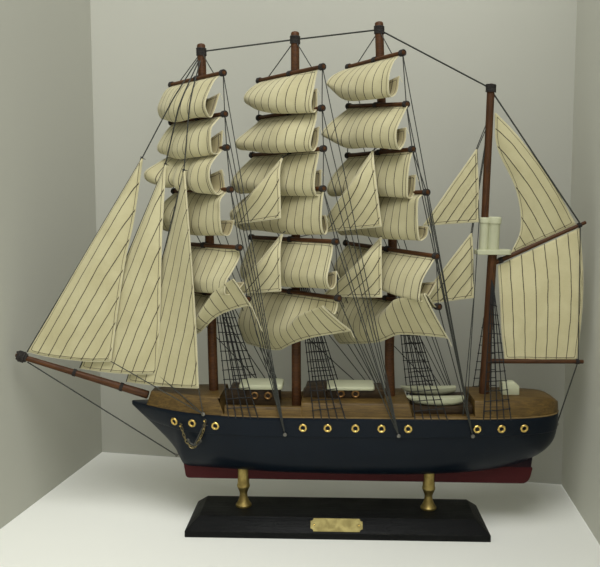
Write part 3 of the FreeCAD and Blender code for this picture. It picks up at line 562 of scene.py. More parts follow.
@dataclass(frozen=True)
class Thread(Finish):
    """Rigging thread, twisted and a little fuzzy."""
    colour: Triple
    worn: Triple
    pitch: float = 0.8

    def dress(self, wiring: Wiring, shader: Any) -> None:
        """Wires the twist along the thread, painted shade in the grooves between its strands, and its paler fibres.

        Args:
            wiring: Tree that the nodes are added to.
            shader: Surface shader that is dressed.
        """
        travel = wiring.times(wiring.named("travel", 2), 1 / MM)
        twist = STRANDS.on(wiring, Place=wiring.place(), Travel=travel, Pitch=self.pitch)
        pale = wiring.times(wiring.step(twist["Fuzz"], 0.45, 0.7), 0.6)
        colour = wiring.mix(pale, pigment(*self.colour), pigment(*self.worn))
        # Painted shade: the thread is darkened in the grooves between its strands, where the twist is low.
        dark = pigment(*[channel * 0.55 for channel in self.colour])
        wiring.feed(shader["Base Color"], wiring.mix(wiring.step(twist["Height"], 0.35, 0.0), colour, dark))
        shader["Roughness"].default_value = 0.75
        self.relief(wiring, shader, twist["Height"], 0.12)


PLINTH_WOOD = Timber("black_stained_wood", "plinth_wood", (16, 18, 17), (7, 8, 8), 1.6, 0.45, 0.03, 0.3, 0.3,
                     (52, 50, 46), 0.15)
DECK_WOOD = Timber("golden_deck_wood", "deck_wood", (112, 88, 41), (74, 56, 25), 1.1, 0.5, 0.06, 0.4, 0.07,
                   (156, 124, 70), 0.3)
# Paler wood for the covering board: painted highlight along the ledge at the foot of the upper works.
HIGHLIT_BOARD_WOOD = Timber("pale_covering_board", "deck_wood", (138, 114, 66), (104, 82, 44), 0.8, 0.55, 0.05)
HOUSE_WOOD = Timber("dark_house_wood", "house_wood", (66, 50, 28), (40, 30, 18), 1.4, 0.5, 0.05, 0.25, 0.06,
                    (96, 72, 44), 0.25)
SPAR_WOOD = Timber("brown_spar_wood", "spar_wood", (96, 58, 26), (58, 35, 16), 0.9, 0.5, 0.06, 0.35, 0.05,
                   (132, 90, 54), 0.25)
NAVY = Paint("navy_gloss_paint", "navy_paint", (11, 19, 28), 0.34, 0.08, 0.2, (40, 44, 48), gloss=0.12)
MAROON = Paint("dull_maroon_paint", "maroon_paint", (66, 24, 26), 0.5, 0.03, 0.2, (88, 56, 50), (12, 20, 29), 57.0,
               gloss=0.1)
WHITE = Paint("aged_white_paint", "white_paint", (186, 188, 158), 0.55, 0.03, 0.25, (156, 148, 116), gloss=0.2)
BRASS = Metal("bright_ring_brass", "polished_brass", (236, 206, 122), (168, 132, 62), 0.24, 0.35)
PLATE_BRASS = Metal("satin_plate_brass", "polished_brass", (138, 128, 82), (108, 96, 58), 0.5, 0.35)
HOUSE_BRASS = Metal("dim_house_brass", "polished_brass", (176, 138, 88), (90, 60, 34), 0.4, 0.7)
# Dark brass for the discs sunk in the eyelets: painted shade in the holes.
HOLE_SHADE_BRASS = Metal("shaded_brass_throat", "polished_brass", (120, 66, 26), (54, 28, 14), 0.5, 0.6, 0.02, 0.6)
PEDESTAL_BRASS = Metal("aged_brass", "pedestal_brass", (176, 156, 96), (104, 86, 46), 0.4, 0.6, 0.03)
STEEL = Metal("dull_screw_steel", "screw_steel", (136, 134, 126), (84, 82, 76), 0.4, 0.5)
CHAIN_METAL = Metal("dull_chain_brass", "chain_brass", (176, 160, 112), (74, 66, 46), 0.38, 0.7)
IRON = Metal("dark_anchor_iron", "anchor_iron", (84, 84, 78), (44, 44, 42), 0.5, 0.6, 0.05, 0.7)
SAIL = Sailcloth("seamed_sailcloth", "sailcloth")
STAY_CLOTH = Sailcloth("narrow_seamed_sailcloth", "sailcloth", pitch=7.6)
# The spanker's cotton is painted lighter than the other sails, as painted light falling on it; its seams are also
# wider.
LIT_SPANKER_CLOTH = Sailcloth("wide_seamed_sailcloth", "sailcloth", (212, 204, 162), (188, 178, 134), pitch=10.4)
EDGE_TAPE = Thread("pale_edge_cord", "sailcloth", (206, 200, 166), (226, 220, 192), 0.9)
BLACK_THREAD = Thread("black_net_thread", "rigging_thread", (20, 22, 23), (46, 48, 48))
GREY_THREAD = Thread("grey_green_thread", "rigging_thread", (46, 48, 43), (84, 86, 78))
LASHING_THREAD = Thread("dark_lashing_thread", "rigging_thread", (34, 30, 27), (66, 58, 50), 0.6)


# ---------------------------------------------------------------- shapes
def smooth_point(points: Sequence[Vector], part: float) -> Vector:
    """Point on the smooth curve through points.

    Args:
        points: Two or more points.
        part: From 0 at the first point to 1 at the last.

    Returns:
        The point of a Catmull-Rom curve at that part.
    """
    last = len(points) - 1
    place = min(max(part, 0.0), 1.0) * last
    index = min(int(place), last - 1)
    t = place - index
    start, end = points[index], points[index + 1]
    before = points[index - 1] if index else start * 2 - end
    after = points[index + 2] if index + 2 <= last else end * 2 - start
    bend = (before * 2 - start * 5 + end * 4 - after) * t * t + (start * 3 - before - end * 3 + after) * t ** 3
    return (start * 2 + (end - before) * t + bend) * 0.5


def smooth_path(points: Iterable[Sequence[float]], count: int) -> list[Vector]:
    """Points at even parts of the smooth curve through points, both ends included."""
    stops = [Vector(point) for point in points]
    return [smooth_point(stops, step / (count - 1)) for step in range(count)]


def gap_to(path: Sequence[Vector], point: Vector) -> float:
    """Distance from a point to a path of straight runs.

    Args:
        path: Points of the path.
        point: The point.

    Returns:
        The least distance.
    """
    best = math.inf
    for start, end in zip(path, path[1:]):
        run = end - start
        part = min(max((point - start).dot(run) / max(run.length_squared, 1e-9), 0.0), 1.0)
        best = min(best, (start + run * part - point).length)
    return best


def frame_of(axis: Vector) -> tuple[Vector, Vector]:
    """Two directions square to an axis and to each other."""
    side = axis.cross(UP if abs(axis.z) < 0.9 else Vector((1, 0, 0))).normalized()
    return side, side.cross(axis).normalized()


class Shape:
    """Mesh being put together in millimetres, with the grain's own coordinates at each point."""

    def __init__(self) -> None:
        """Starts with nothing in it."""
        self.points: list[Vector] = []
        self.grain: list[Vector] = []
        self.faces: list[tuple[int, ...]] = []
        self.slots: list[int] = []

    def add(self, points: Sequence[Vector], faces: Iterable[Sequence[int]], grain: Sequence[Vector] | None = None,
            slot: int = 0) -> None:
        """Adds points and faces.

        Args:
            points: Places in millimetres.
            faces: Corners of each face, counted from the first of these points.
            grain: Grain coordinates; without them the grain runs along X.
            slot: Which finish of the piece the faces take.
        """
        base = len(self.points)
        self.points.extend(Vector(point) for point in points)
        self.grain.extend(grain or [Vector((p[1], p[2], p[0])) for p in points])
        for face in faces:
            self.faces.append(tuple(base + corner for corner in face))
            self.slots.append(slot)

    def skin(self, rings: Sequence[Sequence[Vector]], grain: Sequence[Sequence[Vector]] | None = None, slot: int = 0,
             capped: bool = True) -> None:
        """Adds a skin through closed rings of as many points each.

        Args:
            rings: Rings in order.
            grain: Grain coordinates of each ring's points.
            slot: Which finish of the piece the faces take.
            capped: Whether the two ends are closed.
        """
        count = len(rings[0])
        faces: list[tuple[int, ...]] = []
        for level in range(len(rings) - 1):
            low, high = level * count, (level + 1) * count
            faces += [(low + i, low + (i + 1) % count, high + (i + 1) % count, high + i) for i in range(count)]
        if capped:
            top = (len(rings) - 1) * count
            faces += [tuple(reversed(range(count))), tuple(range(top, top + count))]
        flat = [point for ring in rings for point in ring]
        self.add(flat, faces, [place for ring in grain for place in ring] if grain else None, slot)

    def lathe(self, profile: Sequence[Pair], foot: Vector, axis: Vector, sides: int = 40, slot: int = 0,
              petals: tuple[int, float] = (1, 0.0)) -> None:
        """Adds a turned piece.

        Args:
            profile: Radius and height of each ring from the foot.
            foot: Start of the axis.
            axis: Direction of the axis.
            sides: Faces round the piece.
            slot: Which finish of the piece the faces take.
            petals: How many lobes the rim has, and how deep they are.
        """
        axis = axis.normalized()
        across, up = frame_of(axis)
        rings, grain = [], []
        for radius, height in profile:
            ring, places = [], []
            for step in range(sides):
                angle = 2 * math.pi * step / sides
                reach = radius * (1 + petals[1] * math.cos(petals[0] * angle))
                x, y = reach * math.cos(angle), reach * math.sin(angle)
                ring.append(foot + across * x + up * y + axis * height)
                places.append(Vector((x + foot.x * 0.37, y + foot.z * 0.11, height)))
            rings.append(ring)
            grain.append(places)
        self.skin(rings, grain, slot)

    def prism(self, outline: Sequence[Pair], middle: float, half: float, slot: int = 0) -> None:
        """Adds a block with an outline of (x, z) points, as far to each side of its middle as half."""
        rings = [[Vector((x, middle + side * half, z)) for x, z in outline] for side in (-1, 1)]
        self.skin(rings, slot=slot)

    def tube(self, path: Sequence[Vector], radii: Sequence[float], sides: int = 10, slot: int = 0) -> None:
        """Adds a round bar along a path, with the radius of each point, and closed ends.

        Args:
            path: Points of the path.
            radii: Radius at each point.
            sides: Faces round the bar.
            slot: Slot of its finish.
        """
        rings = []
        axis = (path[1] - path[0]).normalized()
        side, _ = frame_of(axis)
        for index, (point, radius) in enumerate(zip(path, radii)):
            axis = (path[min(index + 1, len(path) - 1)] - path[max(index - 1, 0)]).normalized()
            side = (side - axis * side.dot(axis)).normalized()
            other = axis.cross(side)
            turn = [2 * math.pi * step / sides for step in range(sides)]
            rings.append([point + side * (radius * math.cos(a)) + other * (radius * math.sin(a)) for a in turn])
        self.skin(rings, slot=slot)

    def join(self, other: "Shape") -> None:
        """Adds another shape."""
        self.add(other.points, other.faces, other.grain)

    def mirror(self) -> "Shape":
        """Copy of the shape on the other side of the ship.

        Returns:
            The copy.
        """
        other = Shape()
        other.points = [Vector((p.x, -p.y, p.z)) for p in self.points]
        other.grain = [Vector(place) for place in self.grain]
        other.faces = [tuple(reversed(face)) for face in self.faces]
        other.slots = list(self.slots)
        return other

    def mesh(self, name: str, bevel: float = 0.0, sharp: float = 38.0) -> bpy.types.Mesh:
        """Turns the shape into a mesh in metres.

        Args:
            name: Name of the mesh.
            bevel: Width of the eased arrises in millimetres.
            sharp: Angle in degrees over which an edge is eased.

        Returns:
            The mesh, its faces outward.
        """
        mesh = bpy.data.meshes.new(name)
        mesh.from_pydata([point * MM for point in self.points], [], self.faces)
        grain = mesh.attributes.new("grain", "FLOAT_VECTOR", "POINT")
        grain.data.foreach_set("vector", [value for place in self.grain for value in place])
        mesh.polygons.foreach_set("material_index", self.slots)
        work = bmesh.new()
        work.from_mesh(mesh)
        arris = work.faces.layers.float.new("arris")
        bmesh.ops.remove_doubles(work, verts=work.verts, dist=1e-6)
        bmesh.ops.dissolve_degenerate(work, edges=work.edges, dist=1e-7)
        bmesh.ops.recalc_face_normals(work, faces=work.faces)
        if bevel:
            edges = [e for e in work.edges if e.is_manifold and e.calc_face_angle(0.0) > math.radians(sharp)]
            eased = bmesh.ops.bevel(work, geom=edges, offset=bevel * MM, segments=2, profile=0.5, affect="EDGES",
                                    clamp_overlap=True)
            for face in eased["faces"]:
                face[arris] = 1.0
        work.to_mesh(mesh)
        work.free()
        return mesh

    def pattern(self, name: str) -> bpy.types.Object:
        """Plain object of the shape, for a tree to copy.

        Args:
            name: Name of the object.

        Returns:
            The object.
        """
        pattern = bpy.data.objects.new(name, self.mesh(name))
        bpy.context.scene.collection.objects.link(pattern)
        return pattern

    def piece(self, name: str, finishes: Sequence[Finish], stands_for: Sequence[str] = (), body: Body = Body.SHIP,
              bevel: float = 0.0, sharp: float = 38.0) -> bpy.types.Object:
        """Turns the shape into a finished piece.

        Args:
            name: Name of the piece.
            finishes: Finish of each slot.
            stands_for: Nodes of the frame that the piece replaces.
            body: Body that the piece rides on.
            bevel: Width of the eased arrises in millimetres.
            sharp: Angle in degrees over which an edge stays crisp.

        Returns:
            The object, at the origin.
        """
        return finish_piece(self.mesh(name, bevel, sharp), name, finishes, stands_for, body, sharp)


def finish_piece(mesh: bpy.types.Mesh, name: str, finishes: Sequence[Finish], stands_for: Sequence[str] = (),
                 body: Body = Body.SHIP, sharp: float = 38.0) -> bpy.types.Object:
    """Makes the object of a finished mesh.

    Args:
        mesh: Mesh in metres, in its place.
        name: Name of the piece.
        finishes: Finish of each slot.
        stands_for: Nodes of the frame that the piece replaces.
        body: Body that the piece rides on.
        sharp: Angle in degrees over which an edge stays crisp.

    Returns:
        The object, at the origin.
    """
    mesh.name = name
    mesh.materials.clear()
    for finish in finishes:
        mesh.materials.append(finish.material())
    mesh.shade_smooth()
    mesh.set_sharp_from_angle(angle=math.radians(sharp))
    piece = bpy.data.objects.new(name, mesh)
    bpy.context.scene.collection.objects.link(piece)
    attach(piece, body.value)
    if stands_for:
        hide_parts(*stands_for)
    LOG.info("%s: %d faces on %s", name, len(mesh.polygons), body.value)
    return piece


def seed_mesh(name: str, points: Sequence[Vector], edges: Sequence[tuple[int, int]] = (),
              facing: Sequence[Vector] = (), gauge: Sequence[float] = ()) -> bpy.types.Mesh:
    """Mesh of points and edges in metres, with the directions or radii that a tree reads from them.

    Args:
        name: Name of the mesh.
        points: Places in millimetres.
        edges: Pairs of points that are joined.
        facing: Direction at each point.
        gauge: Radius in millimetres at each point.

    Returns:
        The mesh.
    """
    mesh = bpy.data.meshes.new(name)
    mesh.from_pydata([point * MM for point in points], edges, [])
    if facing:
        mesh.attributes.new("facing", "FLOAT_VECTOR", "POINT").data.foreach_set(
            "vector", [value for direction in facing for value in direction])
    if gauge:
        mesh.attributes.new("gauge", "FLOAT", "POINT").data.foreach_set("value", [radius * MM for radius in gauge])
    return mesh


# ---------------------------------------------------------------- repeated pieces
class Grower(ABC):
    """Geometry Nodes tree with named inputs, run once on a seed mesh."""
    title: ClassVar[str]
    takes: ClassVar[dict[str, tuple[str, Any]]]

    def __init__(self) -> None:
        """Builds the tree."""
        self.tree = bpy.data.node_groups.new(self.title, "GeometryNodeTree")
        self.keys: dict[str, str] = {}
        self.tree.interface.new_socket("Geometry", in_out="INPUT", socket_type="NodeSocketGeometry")
        for name, (kind, default) in {**self.takes, "Material": ("NodeSocketMaterial", None)}.items():
            socket = self.tree.interface.new_socket(name, in_out="INPUT", socket_type=kind)
            if default is not None:
                socket.default_value = default
            self.keys[name] = socket.identifier
        self.tree.interface.new_socket("Geometry", in_out="OUTPUT", socket_type="NodeSocketGeometry")
        wiring = Wiring(self.tree)
        source = wiring.add("NodeGroupInput").outputs
        real = wiring.add("GeometryNodeRealizeInstances", {0: self.wire(wiring, source)}).outputs[0]
        painted = wiring.add("GeometryNodeSetMaterial", {"Geometry": real, "Material": source["Material"]})
        wiring.add("NodeGroupOutput", {0: painted.outputs[0]})

    @abstractmethod
    def wire(self, wiring: Wiring, source: Any) -> Socket:
        """Wires the tree from its inputs, and returns the geometry."""

    @staticmethod
    def aligned(wiring: Wiring, axis: str, vector: Socket) -> Socket:
        """Rotation that points one axis of an instance along a vector."""
        return wiring.add("FunctionNodeAlignRotationToVector", {"Vector": vector}, axis=axis).outputs[0]

    @staticmethod
    def cord(wiring: Wiring, curve: Socket, sides: Any, radius: Any, gauge: Any = 1.0) -> Socket:
        """Round cord along a curve, with the way along it kept for its twist.

        Args:
            wiring: Tree that the nodes are added to.
            curve: The curve.
            sides: Faces round the cord.
            radius: Radius of the cord.
            gauge: What the radius is multiplied by at each point.

        Returns:
            The mesh of the cord.
        """
        kept = wiring.add("GeometryNodeStoreNamedAttribute", {"Geometry": curve, "Name": "travel"},
                          data_type="FLOAT", domain="POINT")
        wiring.feed(kept.inputs["Value"], wiring.add("GeometryNodeSplineParameter").outputs["Length"])
        ring = wiring.add("GeometryNodeCurvePrimitiveCircle", {"Resolution": sides, "Radius": radius}).outputs[0]
        feeds = {"Curve": kept.outputs[0], "Profile Curve": ring, "Scale": gauge, "Fill Caps": True}
        return wiring.add("GeometryNodeCurveToMesh", feeds).outputs[0]

    @staticmethod
    def solid(wiring: Wiring, thing: Socket) -> Socket:
        """Geometry of the object that is fed in."""
        return wiring.add("GeometryNodeObjectInfo", {"Object": thing, "As Instance": True}).outputs["Geometry"]

    def copies(self, wiring: Wiring, points: Socket, thing: Socket, turn: Socket | None = None) -> Socket:
        """Copies of a thing at points.

        Args:
            wiring: Tree that the nodes are added to.
            points: Where the copies go.
            thing: What is copied, standing along Z.
            turn: Rotation of each copy; without it, each faces the way that is kept at its point.

        Returns:
            The instances.
        """
        if turn is None:
            facing = wiring.add("GeometryNodeInputNamedAttribute", {"Name": "facing"}, data_type="FLOAT_VECTOR")
            turn = self.aligned(wiring, "Z", facing.outputs[0])
        feeds = {"Points": points, "Instance": thing, "Rotation": turn}
        return wiring.add("GeometryNodeInstanceOnPoints", feeds).outputs[0]

    def grow(self, seed: bpy.types.Mesh, name: str, finish: Finish, stands_for: Sequence[str] = (),
             body: Body = Body.SHIP, sharp: float = 60.0, **values: Any) -> bpy.types.Object:
        """Runs the tree and keeps the result as one plain mesh.

        Args:
            seed: Mesh that the tree starts from.
            name: Name of the piece.
            finish: Its finish.
            stands_for: Nodes of the frame that the piece replaces.
            body: Body that the piece rides on.
            sharp: Angle in degrees over which an edge stays crisp.
            values: Values of the named inputs, in metres.

        Returns:
            The finished piece.
        """
        holder = bpy.data.objects.new(name + "_seed", seed)
        bpy.context.scene.collection.objects.link(holder)
        modifier = holder.modifiers.new(self.title, "NODES")
        modifier.node_group = self.tree
        for key, value in values.items():
            modifier[self.keys[key]] = value
        modifier[self.keys["Material"]] = finish.material()
        graph = bpy.context.evaluated_depsgraph_get()
        mesh = bpy.data.meshes.new_from_object(holder.evaluated_get(graph), preserve_all_data_layers=True,
                                               depsgraph=graph)
        holder.modifiers.clear()
        bpy.data.objects.remove(holder)
        bpy.data.meshes.remove(seed)
        work = bmesh.new()
        work.from_mesh(mesh)
        bmesh.ops.recalc_face_normals(work, faces=work.faces)
        work.to_mesh(mesh)
        work.free()
        return finish_piece(mesh, name, [finish], stands_for, body, sharp)


class Cordage(Grower):
    """Round cord along every run of edges of the seed."""
    title = "cord_along_edges"
    takes = {"Sides": ("NodeSocketInt", 6)}

    def wire(self, wiring: Wiring, source: Any) -> Socket:
        """Wires edges to curves, with the gauge of each point, and the way along the cord kept for its twist.

        Args:
            wiring: Tree that the nodes are added to.
            source: Inputs of the group, by name.

        Returns:
            The mesh of the cords.
        """
        curve = wiring.add("GeometryNodeMeshToCurve", {0: source["Geometry"]}).outputs[0]
        gauge = wiring.add("GeometryNodeInputNamedAttribute", {"Name": "gauge"}, data_type="FLOAT").outputs[0]
        return self.cord(wiring, curve, source["Sides"], 1.0, gauge)


class Fittings(Grower):
    """Copies of one fitting at the points of the seed, each turned to face its own way."""
    title = "fittings_on_points"
    takes = {"Fitting": ("NodeSocketObject", None)}

    def wire(self, wiring: Wiring, source: Any) -> Socket:
        """Wires the copies."""
        return self.copies(wiring, source["Geometry"], self.solid(wiring, source["Fitting"]))

    def scatter(self, fitting: Shape, seats: Sequence[tuple[Vector, Vector]], name: str, finish: Finish,
                stands_for: Sequence[str] = ()) -> bpy.types.Object:
        """Makes the pieces of one kind of fitting.

        Args:
            fitting: The fitting, about the origin and facing up.
            seats: Place and direction of each copy.
            name: Name of the piece.
            finish: Its finish.
            stands_for: Nodes of the frame that the piece replaces.

        Returns:
            One piece with all the copies.
        """
        pattern = fitting.pattern(name + "_pattern")
        seed = seed_mesh(name, [seat for seat, _ in seats], facing=[outward for _, outward in seats])
        piece = self.grow(seed, name, finish, stands_for, sharp=40.0, Fitting=pattern)
        bpy.data.objects.remove(pattern)
        return piece


class Lashings(Grower):
    """Thread wound round a spar at each point of the seed."""
    title = "wound_lashings"
    takes = {"Girth": ("NodeSocketFloat", 0.002), "Reach": ("NodeSocketFloat", 0.004),
             "Turns": ("NodeSocketFloat", 6.0), "Wire": ("NodeSocketFloat", 0.0003)}

    def wire(self, wiring: Wiring, source: Any) -> Socket:
        """Wires one winding and copies it to the points.

        Args:
            wiring: Tree that the nodes are added to.
            source: Inputs of the group, by name.

        Returns:
            The windings.
        """
        coil = wiring.add("GeometryNodeCurveSpiral", {
            "Resolution": 14, "Rotations": source["Turns"], "Start Radius": source["Girth"],
            "End Radius": source["Girth"], "Height": source["Reach"]}).outputs[0]
        return self.copies(wiring, source["Geometry"], self.cord(wiring, coil, 5, source["Wire"]))

    def wind(self, starts: Sequence[tuple[Vector, Vector]], name: str, finish: Finish, girth: float, reach: float,
             wire: float = 0.34) -> bpy.types.Object:
        """Winds thread round spars.

        Args:
            starts: Where each winding starts, and the way it goes along its spar.
            name: Name of the piece.
            finish: Finish of the thread.
            girth: Radius to the middle of the thread, in millimetres.
            reach: Length of the winding, in millimetres.
            wire: Radius of the thread, in millimetres.

        Returns:
            One piece with all the windings.
        """
        seed = seed_mesh(name, [start for start, _ in starts], facing=[way for _, way in starts])
        return self.grow(seed, name, finish, Girth=girth * MM, Reach=reach * MM, Turns=reach / (1.9 * wire),
                         Wire=wire * MM)


class Chains(Grower):
    """Links along the seed's edges, every other one turned a quarter."""
    title = "links_along_edges"
    takes = {"Link": ("NodeSocketObject", None), "Pitch": ("NodeSocketFloat", 0.003),
             "Roll": ("NodeSocketFloat", 0.0)}

    def wire(self, wiring: Wiring, source: Any) -> Socket:
        """Wires the even spacing and the turn of each link.

        Args:
            wiring: Tree that the nodes are added to.
            source: Inputs of the group, by name.

        Returns:
            The links.
        """
        curve = wiring.add("GeometryNodeMeshToCurve", {0: source["Geometry"]}).outputs[0]
        even = wiring.add("GeometryNodeResampleCurve", {"Curve": curve, "Length": source["Pitch"]}, mode="LENGTH")
        turn = self.aligned(wiring, "X", wiring.add("GeometryNodeInputTangent").outputs[0])
        odd = wiring.calc("MODULO", wiring.add("GeometryNodeInputIndex").outputs[0], 2.0)
        roll = wiring.add("FunctionNodeAxisAngleToRotation", {
            "Axis": (1.0, 0.0, 0.0), "Angle": wiring.calc("MULTIPLY_ADD", odd, math.pi / 2, source["Roll"])}).outputs[0]
        turned = wiring.add("FunctionNodeRotateRotation", {0: turn, 1: roll}, rotation_space="LOCAL").outputs[0]
        return self.copies(wiring, even.outputs[0], self.solid(wiring, source["Link"]), turned)


@dataclass
class Shop:
    """The trees that the sub-assemblies share."""
    cordage: Cordage = field(default_factory=Cordage)
    fittings: Fittings = field(default_factory=Fittings)
    lashings: Lashings = field(default_factory=Lashings)
    chains: Chains = field(default_factory=Chains)


class Threads:
    """Runs of thread put together before they become one piece."""

    def __init__(self) -> None:
        """Starts with no runs."""
        self.points: list[Vector] = []
        self.edges: list[tuple[int, int]] = []
        self.gauge: list[float] = []

    def run(self, path: Sequence[Vector], radius: float) -> None:
        """Adds a thread along a path, with its radius in millimetres.

        Args:
            path: Points of the path.
            radius: Radius of the thread.
        """
        base = len(self.points)
        self.points.extend(Vector(point) for point in path)
        self.gauge.extend([radius] * len(path))
        self.edges.extend((base + i, base + i + 1) for i in range(len(path) - 1))

    def piece(self, shop: Shop, name: str, finish: Finish, stands_for: Sequence[str] = (),
              sides: int = 6) -> bpy.types.Object:
        """Makes the piece."""
        seed = seed_mesh(name, self.points, self.edges, gauge=self.gauge)
        return shop.cordage.grow(seed, name, finish, stands_for, Sides=sides)


# ---------------------------------------------------------------- hull form and the base
def eased(table: Sequence[Sequence[float]], x: float, column: int) -> float:
    """Value of a column of a table on a smooth curve through its rows.

    Args:
        table: Rows that start with their station.
        x: Station along the ship.
        column: Column that is read.

    Returns:
        The value.
    """
    x = min(max(x, table[0][0]), table[-1][0])
    index = max(i for i in range(len(table) - 1) if table[i][0] <= x)

    def slope(at: int) -> float:
        """Slope of the curve at a row."""
        low, high = table[max(at - 1, 0)], table[min(at + 1, len(table) - 1)]
        return (high[column] - low[column]) / (high[0] - low[0])
    (x0, y0), (x1, y1) = [(table[i][0], table[i][column]) for i in (index, index + 1)]
    run = x1 - x0
    t = (x - x0) / run
    start, end = slope(index) * run, slope(index + 1) * run
    return (y0 * (2 * t ** 3 - 3 * t ** 2 + 1) + start * (t ** 3 - 2 * t ** 2 + t)
            + y1 * (3 * t ** 2 - 2 * t ** 3) + end * (t ** 3 - t ** 2))


@dataclass(frozen=True)
class HullForm:
    """Lines of the hull: station, height of the bottom, half breadth at the rail, and fullness."""
    stations: tuple[tuple[float, ...], ...] = (
        (-187.0, 110.0, 1.0, 1.2), (-180.0, 103.2, 5.2, 1.2), (-172.0, 95.5, 9.5, 1.2), (-163.0, 86.5, 13.8, 1.25),
        (-154.0, 77.0, 17.6, 1.3), (-147.0, 67.5, 20.4, 1.35), (-142.0, 57.0, 22.4, 1.4), (-138.0, 53.4, 23.6, 1.45),
        (-126.0, 52.6, 26.4, 1.6), (-108.0, 52.2, 28.9, 1.9), (-80.0, 51.7, 30.7, 2.4), (-40.0, 51.0, 31.8, 2.9),
        (40.0, 50.5, 32.0, 3.0), (85.0, 50.7, 31.6, 2.6), (115.0, 51.6, 30.8, 2.1), (140.0, 54.0, 29.6, 1.8),
        (158.0, 58.0, 27.8, 1.7), (172.0, 63.2, 25.2, 1.7), (183.0, 69.4, 21.4, 1.75), (190.0, 75.5, 17.0, 1.8),
        (194.6, 82.5, 11.5, 1.9), (197.0, 91.0, 5.2, 2.0))
    strake: tuple[Pair, ...] = (
        (-200.0, 102.0), (-174.0, 97.0), (-141.0, 93.0), (-100.0, 91.3), (0.0, 91.0), (110.0, 91.6), (200.0, 94.0))
    rail_low: float = 108.0
    proud: float = 0.9
    lean: float = 0.22

    def rail(self, x: float) -> float:
        """Height of the rail at a station."""
        rise = 6.0 * ((x + 60) / 126) ** 2 if x < -60 else 0.0
        return self.rail_low + rise + (1.2 * ((x - 110) / 87) ** 2 if x > 110 else 0.0)

    def breadth(self, x: float) -> float:
        """Half breadth at the rail."""
        return eased(self.stations, x, 2)

    def edge(self, x: float) -> float:
        """Height of the upper strake's lower edge."""
        bottom = eased(self.stations, x, 1)
        return max(eased(self.strake, x, 1), bottom + 0.15 * (self.rail(x) - bottom))

    def side(self, x: float, z: float) -> float:
        """Half breadth at a station and height, with the upper strake's thickness.

        Args:
            x: Station along the ship.
            z: Height.

        Returns:
            The half breadth.
        """
        bottom, full = eased(self.stations, x, 1), eased(self.stations, x, 3)
        part = min(max((z - bottom) / (self.rail(x) - bottom), 0.0), 1.0)
        out = self.breadth(x) * (1 - (1 - part) ** full) ** (1 / full)
        return out + (self.proud if z > self.edge(x) else 0.0)

    def seat(self, x: float, z: float, side: Side) -> tuple[Vector, Vector]:
        """Point of the hull's side, and the way out from it.

        Args:
            x: Station along the ship.
            z: Height.
            side: Side of the ship.

        Returns:
            The point and the way out.
        """
        along = Vector((4, self.side(x - 2, z) - self.side(x + 2, z), 0))
        up = Vector((0, self.side(x, z - 1) - self.side(x, z + 1), 2))
        outward = along.cross(up).normalized()
        return (Vector((x, -side.value * self.side(x, z), z)),
                Vector((outward.x, -side.value * abs(outward.y), outward.z)))

    def levels(self, x: float) -> list[Vector]:
        """Starboard half of a section, from the rail down to the keel.

        Args:
            x: Station along the ship.

        Returns:
            The points of the half section.
        """
        bottom, top, edge = eased(self.stations, x, 1), self.rail(x), self.edge(x)
        full = self.breadth(x) + self.proud
        points = [Vector((x, max(full - 0.9, 0.3), top)), Vector((x, max(full - 0.25, 0.5), top - 0.2))]
        points += [Vector((x, self.side(x, top - 0.9 - (top - 0.9 - edge - 0.3) * i / 5), top - 0.9
                           - (top - 0.9 - edge - 0.3) * i / 5)) for i in range(6)]
        points.append(Vector((x, self.side(x, edge + 0.01) - 0.3, edge)))
        for i in range(19):
            z = bottom + (edge - 0.1 - bottom) * (1 - math.sin(math.pi / 2 * i / 19))
            points.append(Vector((x, self.side(x, z), z)))
        return points

    def ring(self, x: float) -> list[Vector]:
        """Whole section as a ring.

        Args:
            x: Station along the ship.

        Returns:
            The points of the section.
        """
        starboard = self.levels(x)
        keel = Vector((x, 0.0, eased(self.stations, x, 1)))
        return starboard + [keel] + [Vector((p.x, -p.y, p.z)) for p in reversed(starboard)]


FORM = HullForm()


